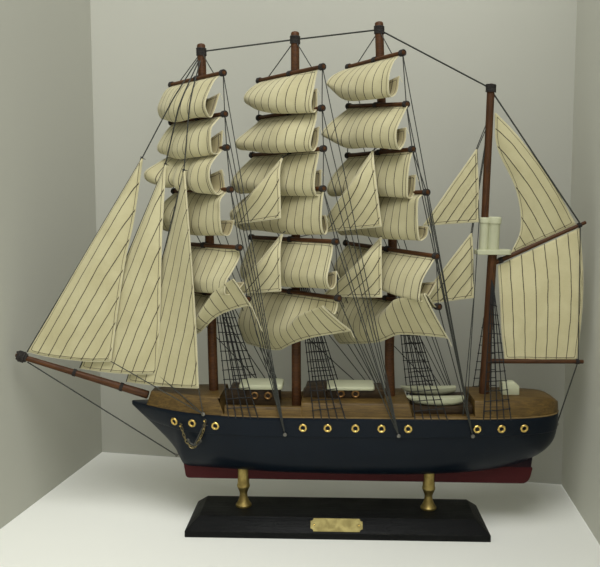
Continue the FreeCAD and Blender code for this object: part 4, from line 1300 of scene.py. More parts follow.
@dataclass
class Base:
    """Plinth, blank plate and turned pedestals."""
    length: float = 268.0
    width: float = 71.0
    band: float = 5.8
    height: float = 15.8
    inset: float = 11.5
    plate: Triple = (46.0, 12.6, 0.6)
    scallop: float = 2.6
    pedestals: Pair = (-85.5, 84.0)
    column: tuple[Pair, ...] = (
        (7.0, 15.8), (7.3, 16.1), (7.3, 17.6), (6.6, 18.4), (5.6, 20.0), (4.7, 22.0), (3.9, 24.2), (3.5, 26.4),
        (3.6, 28.4), (4.0, 30.0), (4.7, 31.6), (5.5, 33.6), (5.9, 34.4), (5.95, 35.6), (5.6, 36.6), (5.45, 38.0),
        (5.45, 41.0), (5.5, 46.0), (5.5, 52.3), (5.0, 53.4))
    nail: tuple[Pair, ...] = (
        (0.3, -1.5), (0.35, 0.0), (1.0, 0.02), (0.98, 0.2), (0.72, 0.46), (0.3, 0.6), (0.02, 0.63))
    nail_inset: float = 3.2

    def build(self, shop: Shop) -> None:
        """Builds the pieces of the base.

        Args:
            shop: Makers that the pieces share.
        """
        self.make_plinth()
        self.make_plate(shop)
        self.make_pedestals()
        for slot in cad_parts["pedestal_screws"].material_slots:
            slot.material = STEEL.material()

    def make_plinth(self) -> None:
        """Band and bevel, with eased arrises."""
        shape = Shape()
        rings = []
        for inset, z in ((0.0, 0.0), (0.0, self.band), (self.inset, self.height)):
            x, y = self.length / 2 - inset, self.width / 2 - inset
            rings.append([Vector((a * x, b * y, z)) for a, b in ((-1, -1), (1, -1), (1, 1), (-1, 1))])
        shape.skin(rings)
        shape.piece("display_plinth", [PLINTH_WOOD], ["plinth"], bevel=0.55, sharp=25.0)

    def on_bevel(self, x: float, up: float, out: float) -> Vector:
        """Point on the front bevel, from the plate's middle: along, up the slope and out of it.

        Args:
            x: Distance along the bevel.
            up: Distance up the slope.
            out: Distance out of it.

        Returns:
            The point.
        """
        slope = Vector((0.0, self.inset, self.height - self.band)).normalized()
        outward = Vector((0.0, -slope.z, slope.y))
        middle = Vector((0.0, self.inset / 2 - self.width / 2, (self.band + self.height) / 2))
        return middle + Vector((x, 0.0, 0.0)) + slope * up + outward * out

    def make_plate(self, shop: Shop) -> None:
        """Bare plate with hollow corners, a rolled rim and two nails.

        Args:
            shop: Makers that the pieces share.
        """
        length, height, thick = self.plate
        outline = []
        for a, b in ((1, -1), (1, 1), (-1, 1), (-1, -1)):
            start = math.atan2(-b, -a) + math.pi / 4
            for step in range(9):
                angle = start - math.pi / 2 * step / 8
                outline.append((a * length / 2 + self.scallop * math.cos(angle),
                                b * height / 2 + self.scallop * math.sin(angle)))
        shape = Shape()
        rings = []
        for part, out in ((1.0, 0.02), (1.0, thick - 0.22), (0.992, thick), (0.965, thick), (0.955, thick - 0.12)):
            rings.append([self.on_bevel(x * (1 - (1 - part) * 0.27), y * part, out) for x, y in outline])
        shape.skin(rings)
        shape.piece("blank_plate", [PLATE_BRASS], ["nameplate"], sharp=50.0)
        outward = self.on_bevel(0, 0, 1) - self.on_bevel(0, 0, 0)
        nail = Shape()
        nail.lathe(self.nail, ORIGIN, UP, 20)
        seats = [(self.on_bevel(side * (length / 2 - self.nail_inset), 0, thick - 0.14), outward) for side in (-1, 1)]
        shop.fittings.scatter(nail, seats, "plate_nails", BRASS, ["nameplate_nails"])

    def make_pedestals(self) -> None:
        """Turned columns, the keel's foot sunk into their tops."""
        shape = Shape()
        for x in self.pedestals:
            shape.lathe(self.column, Vector((x, 0, 0)), UP, 48)
        shape.piece("turned_pedestals", [PEDESTAL_BRASS], ["pedestals"], sharp=32.0)


@dataclass
class HullAndKeel:
    """Carved hull, painted, with its keel and rudder post."""
    keel_outline: tuple[Pair, ...] = (
        (-141.0, 60.0), (-138.8, 45.5), (-138.3, 44.0), (-137.2, 42.9), (-135.4, 42.35), (166.0, 41.1),
        (169.0, 41.3), (171.6, 42.4), (173.6, 44.6), (174.8, 47.2), (175.5, 50.0), (176.6, 55.0), (176.4, 55.8),
        (175.3, 56.4), (175.4, 57.4), (176.8, 70.0))

    def build(self) -> None:
        """Builds the hull and the keel."""
        shape = Shape()
        xs = [row[0] for row in FORM.stations]
        places = [low + (high - low) * step / 5 for low, high in zip(xs, xs[1:]) for step in range(5)] + [xs[-1]]
        rings = [FORM.ring(x) for x in places]
        tip = [Vector((point.x + 0.7, point.y * 0.45, point.z + (1.2 if index > 12 else 0)))
               for index, point in enumerate(rings[-1])]
        shape.skin(rings + [tip])
        shape.piece("painted_hull", [NAVY], ["hull"], sharp=30.0)
        keel = Shape()
        keel.prism(self.keel_outline, 0.0, 2.5)
        keel.piece("painted_keel", [MAROON], ["keel"], bevel=0.5, sharp=50.0)


@dataclass
class Decks:
    """Blocks of the upper works, their sides leaning in from the rail, with the covering board at their foot."""
    forecastle: Triple = (-172.0, -98.5, 124.5)
    well: Triple = (-98.5, -31.0, 117.0)
    bridge: Triple = (-31.0, 66.0, 120.8)
    boats: Triple = (66.0, 119.0, 110.2)
    poop: Triple = (119.0, 197.6, 123.5)
    floor: float = 111.0
    wall: float = 5.2
    stern: Triple = (181.0, 16.6, 6.5)
    board: Pair = (-101.0, 197.2)
    board_steps: int = 74
    overhang: float = 0.3
    closing: Pair = (197.0, 0.55)

    def section(self, x: float, top: float, hollow: bool) -> list[Vector]:
        """Ring of a block's section at a station.

        Args:
            x: Station along the ship.
            top: Height of the top.
            hollow: Whether the block is sunk inside its bulwarks.

        Returns:
            The points of the ring.
        """
        low = FORM.rail(x)
        end, narrowed = self.closing
        foot = FORM.breadth(min(x, end)) + self.overhang
        if x > end:
            foot *= narrowed

        def out(z: float) -> float:
            """Half breadth at a height."""
            return foot - FORM.lean * (z - low)
        ease = min(1.3, (top - low) * 0.4)
        half = [(foot, low - 0.6), (out(top - ease), top - ease), (out(top) - ease * 0.3, top - ease * 0.3),
                (out(top) - ease, top)]
        if hollow:
            inner = out(top) - self.wall
            half += [(inner + 0.6, top), (inner, top - 0.6), (inner, self.floor)]
        else:
            half += [(out(top) * 0.6, top + 0.05), (out(top) * 0.2, top + 0.12)]
        return [Vector((x, y, z)) for y, z in half] + [Vector((x, -y, z)) for y, z in reversed(half)]

    def block(self, span: Triple, hollow: bool = False, slopes: Pair = (0.0, 0.0)) -> Shape:
        """Block between two stations.

        Args:
            span: First and last station, and the height of the top.
            hollow: Whether it is sunk inside its bulwarks.
            slopes: How far the top of each end is set along X from its foot.

        Returns:
            The block.
        """
        start, end, top = span
        count = max(int((end - start) / 4), 3)
        stations = [start + (end - start) * i / count for i in range(count + 1)]
        drop_from, run, drop = self.stern
        rings = [self.section(x, top - drop * (max(x - drop_from, 0.0) / run) ** 2.4, hollow) for x in stations]
        for ring, slope in ((rings[0], slopes[0]), (rings[-1], slopes[1])):
            low = min(point.z for point in ring)
            for point in ring:
                point.x += slope * (point.z - low) / (top - low)
        shape = Shape()
        shape.skin(rings)
        return shape

    def build(self) -> None:
        """Builds the decks."""
        self.block(self.forecastle, slopes=(4.5, -6.5)).piece("forecastle_block", [DECK_WOOD], ["forecastle"],
                                                              bevel=0.4, sharp=50.0)
        middle = self.block(self.well, hollow=True)
        low = self.block(self.boats)
        middle.join(low)
        middle.piece("well_and_boat_deck", [DECK_WOOD], ["main_deck"], bevel=0.4, sharp=50.0)
        self.block(self.bridge, slopes=(0.0, -3.6)).piece("bridge_deck_block", [DECK_WOOD], ["bridge_deck"],
                                                          bevel=0.5, sharp=50.0)
        self.block(self.poop).piece("poop_block", [DECK_WOOD], ["poop"], bevel=0.4, sharp=50.0)
        self.make_board()

    def make_board(self) -> None:
        """Board along the foot of the upper works, its wood paler than the deck as a painted highlight along the ledge.
        """
        shape = Shape()
        rings = []
        for step in range(self.board_steps + 1):
            x = self.board[0] + (self.board[1] - self.board[0]) * step / self.board_steps
            foot, low = FORM.breadth(x) + self.overhang, FORM.rail(x)
            half = [(foot - 1.5, low - 0.2), (foot + 0.5, low - 0.1), (foot + 0.55, low + 0.5), (foot + 0.1, low + 0.9),
                    (foot - 1.5, low + 0.95)]
            rings.append([Vector((x, y, z)) for y, z in half])
        shape.skin(rings)
        other = shape.mirror()
        shape.join(other)
        shape.piece("covering_board", [HIGHLIT_BOARD_WOOD], sharp=40.0)


def rounded(span: Pair, half: float, radius: float, z: float, inset: float, steps: int = 6) -> list[Vector]:
    """Ring of a rectangle in plan with rounded corners.

    Args:
        span: First and last station.
        half: Half of its breadth.
        radius: Radius of its corners.
        z: Its height.
        inset: How far the ring is drawn in.
        steps: Faces round each corner.

    Returns:
        The points of the ring.
    """
    points = []
    for x, y, start in ((span[1] - radius, half - radius, 0), (span[0] + radius, half - radius, 90),
                        (span[0] + radius, radius - half, 180), (span[1] - radius, radius - half, 270)):
        for step in range(steps + 1):
            angle = math.radians(start + 90 * step / steps)
            reach = radius - inset
            points.append(Vector((x + reach * math.cos(angle), y + reach * math.sin(angle), z)))
    return points


@dataclass
class DeckHouses:
    """Houses, companions and wheelhouse."""
    fore: Triple = (-81.0, -51.5, 12.0)
    mid: Triple = (-8.5, 42.0, 13.0)
    tops: Pair = (128.4, 129.4)
    floors: Pair = (111.0, 120.8)
    roofs: tuple[tuple[Pair, float, float, float], ...] = (
        ((-87.5, -48.5), 15.0, 128.4, 4.2), ((-9.0, 33.5), 15.5, 128.5, 3.2))
    hoods: tuple[tuple[float, tuple[Pair, ...]], ...] = (
        (10.0, ((-98.6, 111.0), (-98.6, 121.0), (-95.6, 129.5), (-87.6, 129.5), (-87.6, 128.3), (-81.2, 128.3),
                (-81.2, 111.0))),
        (11.5, ((-30.6, 120.8), (-26.8, 131.2), (-9.2, 131.2), (-9.2, 120.8))))
    helm: tuple[Pair, ...] = ((147.0, 123.5), (147.0, 134.5), (158.5, 134.5), (162.0, 131.5), (162.0, 123.5))

    def roof(self, shape: Shape, span: Pair, half: float, floor: float, thick: float) -> None:
        """Adds a roof slab with an eased upper edge."""
        levels = ((0.0, 0.3), (0.35, 0.0), (thick - 1.4, 0.0), (thick - 0.75, 0.2), (thick - 0.3, 0.65), (thick, 1.6))
        shape.skin([rounded(span, half, 3.5, floor + rise, inset) for rise, inset in levels])

    def build(self) -> None:
        """Builds the houses."""
        for name, (x0, x1, half), floor, top in zip(("fore", "mid"), (self.fore, self.mid), self.floors, self.tops):
            walls = Shape()
            walls.prism([(x0, floor), (x1, floor), (x1, top), (x0, top)], 0.0, half)
            walls.piece(name + "_house_walls", [HOUSE_WOOD], [name + "_house"], bevel=0.35)
        roofs = Shape()
        for roof in self.roofs:
            self.roof(roofs, *roof)
        roofs.piece("painted_roofs", [WHITE], ["house_roofs"], sharp=55.0)
        hoods = Shape()
        for half, outline in self.hoods:
            hoods.prism(outline, 0.0, half)
        hoods.piece("dark_companions", [HOUSE_WOOD], ["companions"], bevel=0.4)
        helm = Shape()
        helm.prism(self.helm, 0.0, 6.5)
        helm.piece("painted_wheelhouse", [WHITE], ["wheelhouse"], bevel=0.5)


@dataclass
class Boats:
    """Two decked boats in their dark beds."""
    length: float = 50.0
    places: tuple[Pair, ...] = ((61.5, -16.5), (58.5, 12.5))
    bed_tops: Pair = (116.4, 118.6)
    bed_halves: Pair = (7.5, 7.0)
    well: Triple = (67.6, 118.0, 110.2)
    lines: tuple[Triple, ...] = (
        (0.0, 0.4, 1.0), (0.05, 1.6, 2.6), (0.12, 3.0, 4.3), (0.22, 4.4, 5.5), (0.35, 5.4, 6.2), (0.5, 5.8, 6.6),
        (0.65, 5.8, 6.7), (0.8, 5.3, 6.4), (0.9, 4.6, 5.8), (0.97, 3.7, 4.7), (1.0, 3.2, 3.6))

    def hull(self, shape: Shape, bow: float, middle: float, bed_top: float) -> None:
        """Adds one boat, with its flat deck.

        Args:
            shape: Shape that it is added to.
            bow: Station of the bow.
            middle: How far the keel is from the middle of the ship.
            bed_top: Height of the bed under it.
        """
        rings = []
        for part, half, depth in self.lines:
            x = bow + self.length * part
            sheer = bed_top + 6.4 + 1.2 * (2 * part - 1) ** 2
            below = [(math.cos(math.pi * i / 14), math.sin(math.pi * i / 14) ** 0.7) for i in range(15)]
            ring = [Vector((x, middle + half * c, sheer - depth * s)) for c, s in below]
            ring += [Vector((x, middle - half, sheer + 0.5)), Vector((x, middle - half * 0.9, sheer + 0.75)),
                     Vector((x, middle + half * 0.9, sheer + 0.75)), Vector((x, middle + half, sheer + 0.5))]
            rings.append(ring)
        shape.skin(rings)

    def build(self) -> None:
        """Builds the boats and their beds."""
        boats = Shape()
        for (bow, middle), bed_top in zip(self.places, self.bed_tops):
            self.hull(boats, bow, middle, bed_top)
        boats.piece("lifeboats_painted", [WHITE], ["lifeboats"], sharp=42.0)
        beds = Shape()
        first, last, floor = self.well
        for (bow, middle), half, top in zip(self.places, self.bed_halves, self.bed_tops):
            beds.prism([(first, floor), (first, top + 1.4), (bow + 12, top + 0.3), (bow + 24, top + 0.2),
                        (bow + self.length - 8, top + 0.8), (last, top + 1.6), (last, floor)], middle, half)
        beds.piece("boat_beds", [HOUSE_WOOD], ["boat_chocks"], bevel=0.5)


@dataclass
class HullFittings:
    """Brass eyelets, thread pins and the eye of the bobstay."""
    port_z: float = 99.3
    ports: tuple[float, ...] = (-144.5, -127.5, -106.5, -29.5, -8.0, 16.0, 38.5, 61.5, 121.0, 142.0, 162.0)
    pins: tuple[Pair, ...] = ((-45.0, 93.6), (53.3, 93.6), (117.0, 93.6), (-116.5, 110.0))
    loop_pins: tuple[Pair, ...] = ((-137.2, 98.6), (-115.2, 104.6))
    house_ports: tuple[Triple, ...] = (
        (-73.5, 12.0, 122.4), (-61.5, 12.0, 122.4), (3.5, 13.0, 125.0), (16.5, 13.0, 125.0))
    eyelet: tuple[Pair, ...] = ((1.75, -0.9), (1.72, 0.0), (1.85, 0.5), (2.2, 0.92), (2.75, 1.1), (3.25, 0.95),
                                (3.6, 0.5), (3.72, 0.0), (3.5, -0.9))
    throat: tuple[Pair, ...] = ((0.05, -0.12), (1.0, -0.15), (1.8, -0.05), (1.8, -0.5), (0.05, -0.6))
    thread_pin: tuple[Pair, ...] = (
        (0.7, -2.2), (0.7, 1.3), (1.5, 1.5), (1.75, 2.0), (1.6, 2.6), (0.9, 3.0), (0.05, 3.1))
    loop_pin: tuple[Pair, ...] = ((0.34, -1.5), (0.34, 3.45), (0.75, 3.55), (0.8, 3.8), (0.5, 4.0), (0.05, 4.05))

    def build(self, shop: Shop) -> None:
        """Builds the fittings.

        Args:
            shop: Makers that the pieces share.
        """
        ring = Shape()
        ring.lathe(self.eyelet, ORIGIN, UP, 36, petals=(7, 0.025))
        # The throat is a dark disc sunk in each eyelet, standing for painted shade in the hole.
        throat = Shape()
        throat.lathe(self.throat, ORIGIN, UP, 24)
        hull = [FORM.seat(x, self.port_z + (1.2 if x < -120 else 0.0), side) for side in Side for x in self.ports]
        walls = [(Vector((x, -side.value * y, z)), Vector((0, -side.value, 0))) for side in Side
                 for x, y, z in self.house_ports]
        shop.fittings.scatter(ring, hull, "hull_eyelets", BRASS, ["portholes"])
        shop.fittings.scatter(throat, hull, "hull_eyelet_throats", HOLE_SHADE_BRASS)
        shop.fittings.scatter(ring, walls, "house_eyelets", HOUSE_BRASS, ["house_portholes"])
        shop.fittings.scatter(throat, walls, "house_eyelet_throats", HOLE_SHADE_BRASS)
        pin = Shape()
        pin.lathe(self.thread_pin, ORIGIN, UP, 20)
        seats = [FORM.seat(x, z, side) for side in Side for x, z in self.pins]
        seats += [(Vector((196.0, 0, 96.0)), Vector((1, 0, 0))),
                  (Vector((-145.5, 0, 63.5)), Vector((-1, 0, -0.35)).normalized())]
        shop.fittings.scatter(pin, seats, "thread_pins", STEEL, ["hull_pins"])
        small = Shape()
        small.lathe(self.loop_pin, ORIGIN, UP, 14)
        seats = [FORM.seat(x, z, side) for side in Side for x, z in self.loop_pins]
        shop.fittings.scatter(small, seats, "anchor_pins", BRASS)


# ---------------------------------------------------------------- masts and spars
@dataclass(frozen=True)
class Mast:
    """Leaning pole with yards braced across it, their port ends swung aft."""
    name: str
    foot: Pair
    head: Pair
    brace: float
    yards: tuple[tuple[float, ...], ...]
    bend: float = 0.0
    tilts: tuple[float, ...] = (0.0, 0.0, 0.0, 0.0, 0.0, 0.0)
    radius: float = 4.3
    yard_radius: float = 2.0

    @property
    def along(self) -> Vector:
        """Direction towards the port yard end."""
        return Vector((math.sin(math.radians(self.brace)), -math.cos(math.radians(self.brace)), 0.0))

    @property
    def forward(self) -> Vector:
        """Direction square to the yards, ahead."""
        return Vector((-math.cos(math.radians(self.brace)), -math.sin(math.radians(self.brace)), 0.0))

    def at(self, z: float) -> Vector:
        """Point of the axis at a height, with the slight bow of the pole.

        Args:
            z: Height.

        Returns:
            The point.
        """
        part = (z - self.foot[1]) / (self.head[1] - self.foot[1])
        bow = self.bend * math.cos(min(max((part - 0.44) / 0.34, -1.0), 1.0) * math.pi / 2) ** 2
        return Vector((self.foot[0] + (self.head[0] - self.foot[0]) * part + bow, 0.0, z))

    def thickness(self, z: float) -> float:
        """Radius at a height."""
        return self.radius * (1.0 - 0.14 * (z - self.foot[1]) / (self.head[1] - self.foot[1]))

    def way(self, level: int) -> Vector:
        """Direction of a yard towards its port end."""
        return (self.along - UP * self.tilts[level]).normalized()

    def centre(self, level: int) -> Vector:
        """Where a yard crosses, in front of the mast."""
        z = self.yards[level][0]
        return self.at(z) + self.forward * (self.thickness(z) + self.yard_radius)

    def arm(self, level: int, side: Side) -> float:
        """Length of a yard's arm on one side of the mast."""
        return self.yards[level][1 if side is Side.STARBOARD else 2]

    def reach(self, level: int, side: Side) -> float:
        """How far the head of a yard's sail goes out on one side of the mast."""
        return self.yards[level][3 if side is Side.STARBOARD else 4]

    def end(self, level: int, side: Side, inset: float = 2.0) -> Vector:
        """Point near the end of a yard."""
        return self.centre(level) + self.way(level) * (side.value * (self.arm(level, side) - inset))


FORE = Mast("fore", (-111.6, 112.0), (-119.5, 431.5), 42.0, (
    (401.5, 45.6, 42.9, 43.0, 36.0), (367.8, 48.0, 43.1, 42.5, 36.5), (340.0, 47.5, 44.2, 42.0, 37.1),
    (305.0, 49.5, 47.0, 44.0, 40.1), (256.5, 55.5, 56.0, 50.0, 53.0), (214.0, 66.0, 66.0, 60.5, 64.0)), 1.2)
MAIN = Mast("main", (-36.6, 106.0), (-37.3, 441.0), 40.0, (
    (405.2, 49.5, 46.5, 42.5, 38.6), (371.8, 49.9, 46.0, 43.0, 38.2), (338.5, 61.6, 48.1, 56.0, 41.4),
    (305.5, 64.5, 47.5, 59.0, 47.0), (261.8, 64.0, 64.0, 58.0, 59.5), (215.2, 67.5, 67.5, 62.0, 65.0)))
MIZZEN = Mast("mizzen", (48.8, 112.0), (35.2, 448.6), 34.0, (
    (416.4, 42.0, 39.7, 39.5, 33.3), (378.0, 44.0, 43.1, 40.5, 43.0), (337.5, 50.0, 46.7, 44.5, 45.5),
    (302.1, 59.0, 59.0, 53.5, 53.5), (253.2, 66.0, 66.5, 60.0, 64.0), (209.4, 70.0, 71.0, 64.5, 69.0)),
    6.0, (0.0, 0.086, 0.0, 0.0, 0.045, 0.0))
SQUARE_MASTS = (FORE, MAIN, MIZZEN)


@dataclass(frozen=True)
class Pole:
    """Round spar between two points, with its radius at each end."""
    start: Triple
    stop: Triple
    radius: float
    tip: float

    @property
    def foot(self) -> Vector:
        """The first end."""
        return Vector(self.start)

    @property
    def way(self) -> Vector:
        """Direction of the spar."""
        return (Vector(self.stop) - Vector(self.start)).normalized()

    @property
    def length(self) -> float:
        """Length of the spar."""
        return (Vector(self.stop) - Vector(self.start)).length

    def profile(self, crown: float = 0.0) -> list[Pair]:
        """Turned profile with eased ends, and a crown above its length.

        Args:
            crown: How far the crown stands above the end.

        Returns:
            Radii with their heights.
        """
        length = self.length
        steps = [(self.radius + (self.tip - self.radius) * i / 6, length * i / 6) for i in range(7)]
        steps[0] = (self.radius, 0.6)
        end = [(self.tip * 0.96, length - 0.1), (self.tip * 0.8, length + crown * 0.6),
               (self.tip * 0.45, length + crown)]
        return [(self.radius * 0.86, 0.0)] + steps[:-1] + [(self.tip, length - 0.6)] + end


@dataclass
class Spars:
    """Masts, yards, bowsprit, gaff and boom, with their lashings."""
    jigger: Pole = Pole((131.7, 0.0, 115.0), (138.0, 0.0, 281.6), 4.4, 3.9)
    topmast: Pole = Pole((128.6, 0.0, 249.0), (132.3, 0.0, 395.0), 3.15, 3.3)
    gaff: Pole = Pole((139.0, 0.0, 241.0), (217.0, 0.0, 276.6), 2.2, 1.5)
    boom: Pole = Pole((134.0, 0.0, 152.9), (219.0, 0.0, 152.9), 2.2, 1.8)
    bowsprit: Pole = Pole((-172.4, 0.0, 119.2), (-284.5, 0.0, 152.6), 3.8, 2.4)
    bowsprit_steps: tuple[Pair, ...] = ((3.5, 24.0), (3.2, 48.0), (2.9, 70.0), (2.6, 96.0))
    knob: Pair = (2.5, 4.4)
    platform: Pair = (121.5, 152.0)
    platform_levels: tuple[Pair, ...] = ((248.4, 0.5), (248.8, 0.0), (252.3, 0.0), (252.8, 0.6))
    sleeve_z: float = 251.0
    sleeve: tuple[Pair, ...] = ((4.3, 0.0), (5.2, 0.05), (5.2, 23.6), (5.35, 24.2), (6.0, 24.8), (6.05, 29.2),
                                (5.8, 29.9), (5.0, 30.6), (4.1, 30.6))
    heel_sleeve: tuple[Pair, ...] = ((3.3, 2.0), (3.95, 2.05), (3.95, 25.8), (4.0, 26.6), (4.5, 27.2), (4.5, 31.0),
                                     (3.9, 32.0), (3.4, 32.0))
    sprit_bands: tuple[tuple[str, float, float, float, float], ...] = (
        ("inner_band", 24.0, 3.75, 3.0, 0.4), ("outer_band", 69.0, 3.2, 3.0, 0.4),
        ("tip_lashing", 116.4, 3.3, 9.6, 1.0), ("tip_knot", 118.2, 4.4, 6.0, 1.0))

    def build(self, shop: Shop) -> None:
        """Builds the spars.

        Args:
            shop: Makers that the pieces share.
        """
        for mast in SQUARE_MASTS:
            self.make_mast(mast)
            self.make_yards(mast)
        self.make_bowsprit()
        for name, node, pole, crown in (("jigger_lower_mast", "jigger_mast", self.jigger, 0.0),
                                        ("jigger_topmast_pole", "jigger_topmast", self.topmast, 1.2),
                                        ("gaff_spar", "gaff", self.gaff, 0.3), ("boom_spar", "boom", self.boom, 0.3)):
            shape = Shape()
            shape.lathe(pole.profile(crown), pole.foot, pole.way, 32)
            shape.piece(name, [SPAR_WOOD], [node], sharp=45.0)
        self.make_lashings(shop)
        self.make_doubling()

    def make_mast(self, mast: Mast) -> None:
        """One pole from the deck to its cap.

        Args:
            mast: The mast.
        """
        low, high = mast.foot[1], mast.head[1] - 1.0
        levels = [low + (high - low) * step / 24 for step in range(25)]
        path = [mast.at(z) for z in levels] + [mast.at(high + rise) for rise in (0.5, 1.3, 1.8)]
        radii = [mast.thickness(z) for z in levels] + [mast.thickness(high) * part for part in (0.96, 0.8, 0.4)]
        shape = Shape()
        shape.tube(path, radii, 32)
        shape.piece(mast.name + "_mast_pole", [SPAR_WOOD], [mast.name + "_mast"], sharp=45.0)

    def make_yards(self, mast: Mast) -> None:
        """Six slightly uneven yards.

        Args:
            mast: The mast.
        """
        shape = Shape()
        for level in range(len(mast.yards)):
            arms = [mast.arm(level, side) for side in Side]
            half = sum(arms) / 2
            middle = mast.centre(level) + mast.way(level) * ((arms[0] - arms[1]) / 2)
            slim = mast.yard_radius * (0.96 + 0.03 * math.sin(level * 2.4))
            profile = [(slim * 0.5, -half + 0.1), (slim * 0.82, -half + 0.25), (slim * 0.92, -half + 0.8)]
            profile += [(slim * (1 - 0.05 * abs(step) / 5), half * 0.97 * step / 5) for step in range(-5, 6)]
            profile += [(radius, -height) for radius, height in profile[2::-1]]
            shape.lathe(profile, middle, mast.way(level), 24)
        shape.piece(mast.name + "_yard_spars", [SPAR_WOOD], [mast.name + "_yards"], sharp=45.0)

    def make_bowsprit(self) -> None:
        """Bowsprit, turned on past its length to the end that the tip lashing is wound on."""
        pole = self.bowsprit
        profile = [(pole.radius - 0.4, 0.0), (pole.radius, 0.6), *self.bowsprit_steps, (pole.tip, pole.length + 4.0),
                   (pole.tip - 0.8, pole.length + 10.0)]
        shape = Shape()
        shape.lathe(profile, pole.foot, pole.way, 32)
        shape.piece("bowsprit_spar", [SPAR_WOOD], ["bowsprit"], sharp=45.0)

    def make_lashings(self, shop: Shop) -> None:
        """Thread wound on yard ends, yard middles, mast caps and the bands of the other spars.

        Args:
            shop: Makers that the pieces share.
        """
        ends, middles, caps = [], [], []
        for mast in SQUARE_MASTS:
            for level in range(len(mast.yards)):
                for side in Side:
                    outward = mast.way(level) * side.value
                    ends.append((mast.end(level, side, self.knob[1] + 0.2), outward))
                middles.append((mast.centre(level) - mast.way(level) * 2.2, mast.way(level)))
            way = (mast.at(mast.head[1]) - mast.at(mast.head[1] - 20)).normalized()
            caps.append((mast.at(mast.head[1] - 9.6), way))
        caps.append((self.topmast.foot + self.topmast.way * (self.topmast.length - 6.0), self.topmast.way))
        shop.lashings.wind(ends, "yard_end_lashings", LASHING_THREAD, self.knob[0] - 0.15, self.knob[1], 0.55)
        shop.lashings.wind(middles, "yard_slings", LASHING_THREAD, 2.35, 5.0, 0.5)
        shop.lashings.wind(caps, "masthead_lashings", LASHING_THREAD, 4.1, 6.6, 0.6)
        for name, travel, girth, reach, wire in self.sprit_bands:
            start = self.bowsprit.foot + self.bowsprit.way * travel
            shop.lashings.wind([(start, self.bowsprit.way)], "bowsprit_" + name, LASHING_THREAD, girth, reach, wire)
        bands = [(pole.foot + pole.way * (pole.length - gap), pole.way)
                 for pole, gap in ((self.gaff, 7.4), (self.boom, 6.6))]
        shop.lashings.wind(bands, "gaff_and_boom_bands", LASHING_THREAD, 2.1, 3.0, 0.36)
        shop.lashings.wind([(self.gaff.foot + self.gaff.way * 3.6, self.gaff.way)], "gaff_jaw_lashing",
                           LASHING_THREAD, 2.5, 3.4, 0.4)

    def make_doubling(self) -> None:
        """Painted top: platform, sleeve with its flared cap, and the smaller sleeve round the topmast's heel."""
        shape = Shape()
        base = self.jigger.foot + self.jigger.way * ((self.sleeve_z - self.jigger.foot.z) / self.jigger.way.z)
        shape.lathe(self.sleeve, base, self.jigger.way, 40)
        shape.lathe(self.heel_sleeve, self.topmast.foot, self.topmast.way, 32)
        shape.skin([rounded(self.platform, 8.0, 3.4, z, inset, 8) for z, inset in self.platform_levels])
        shape.piece("painted_doubling", [WHITE], ["jigger_top"], sharp=35.0)


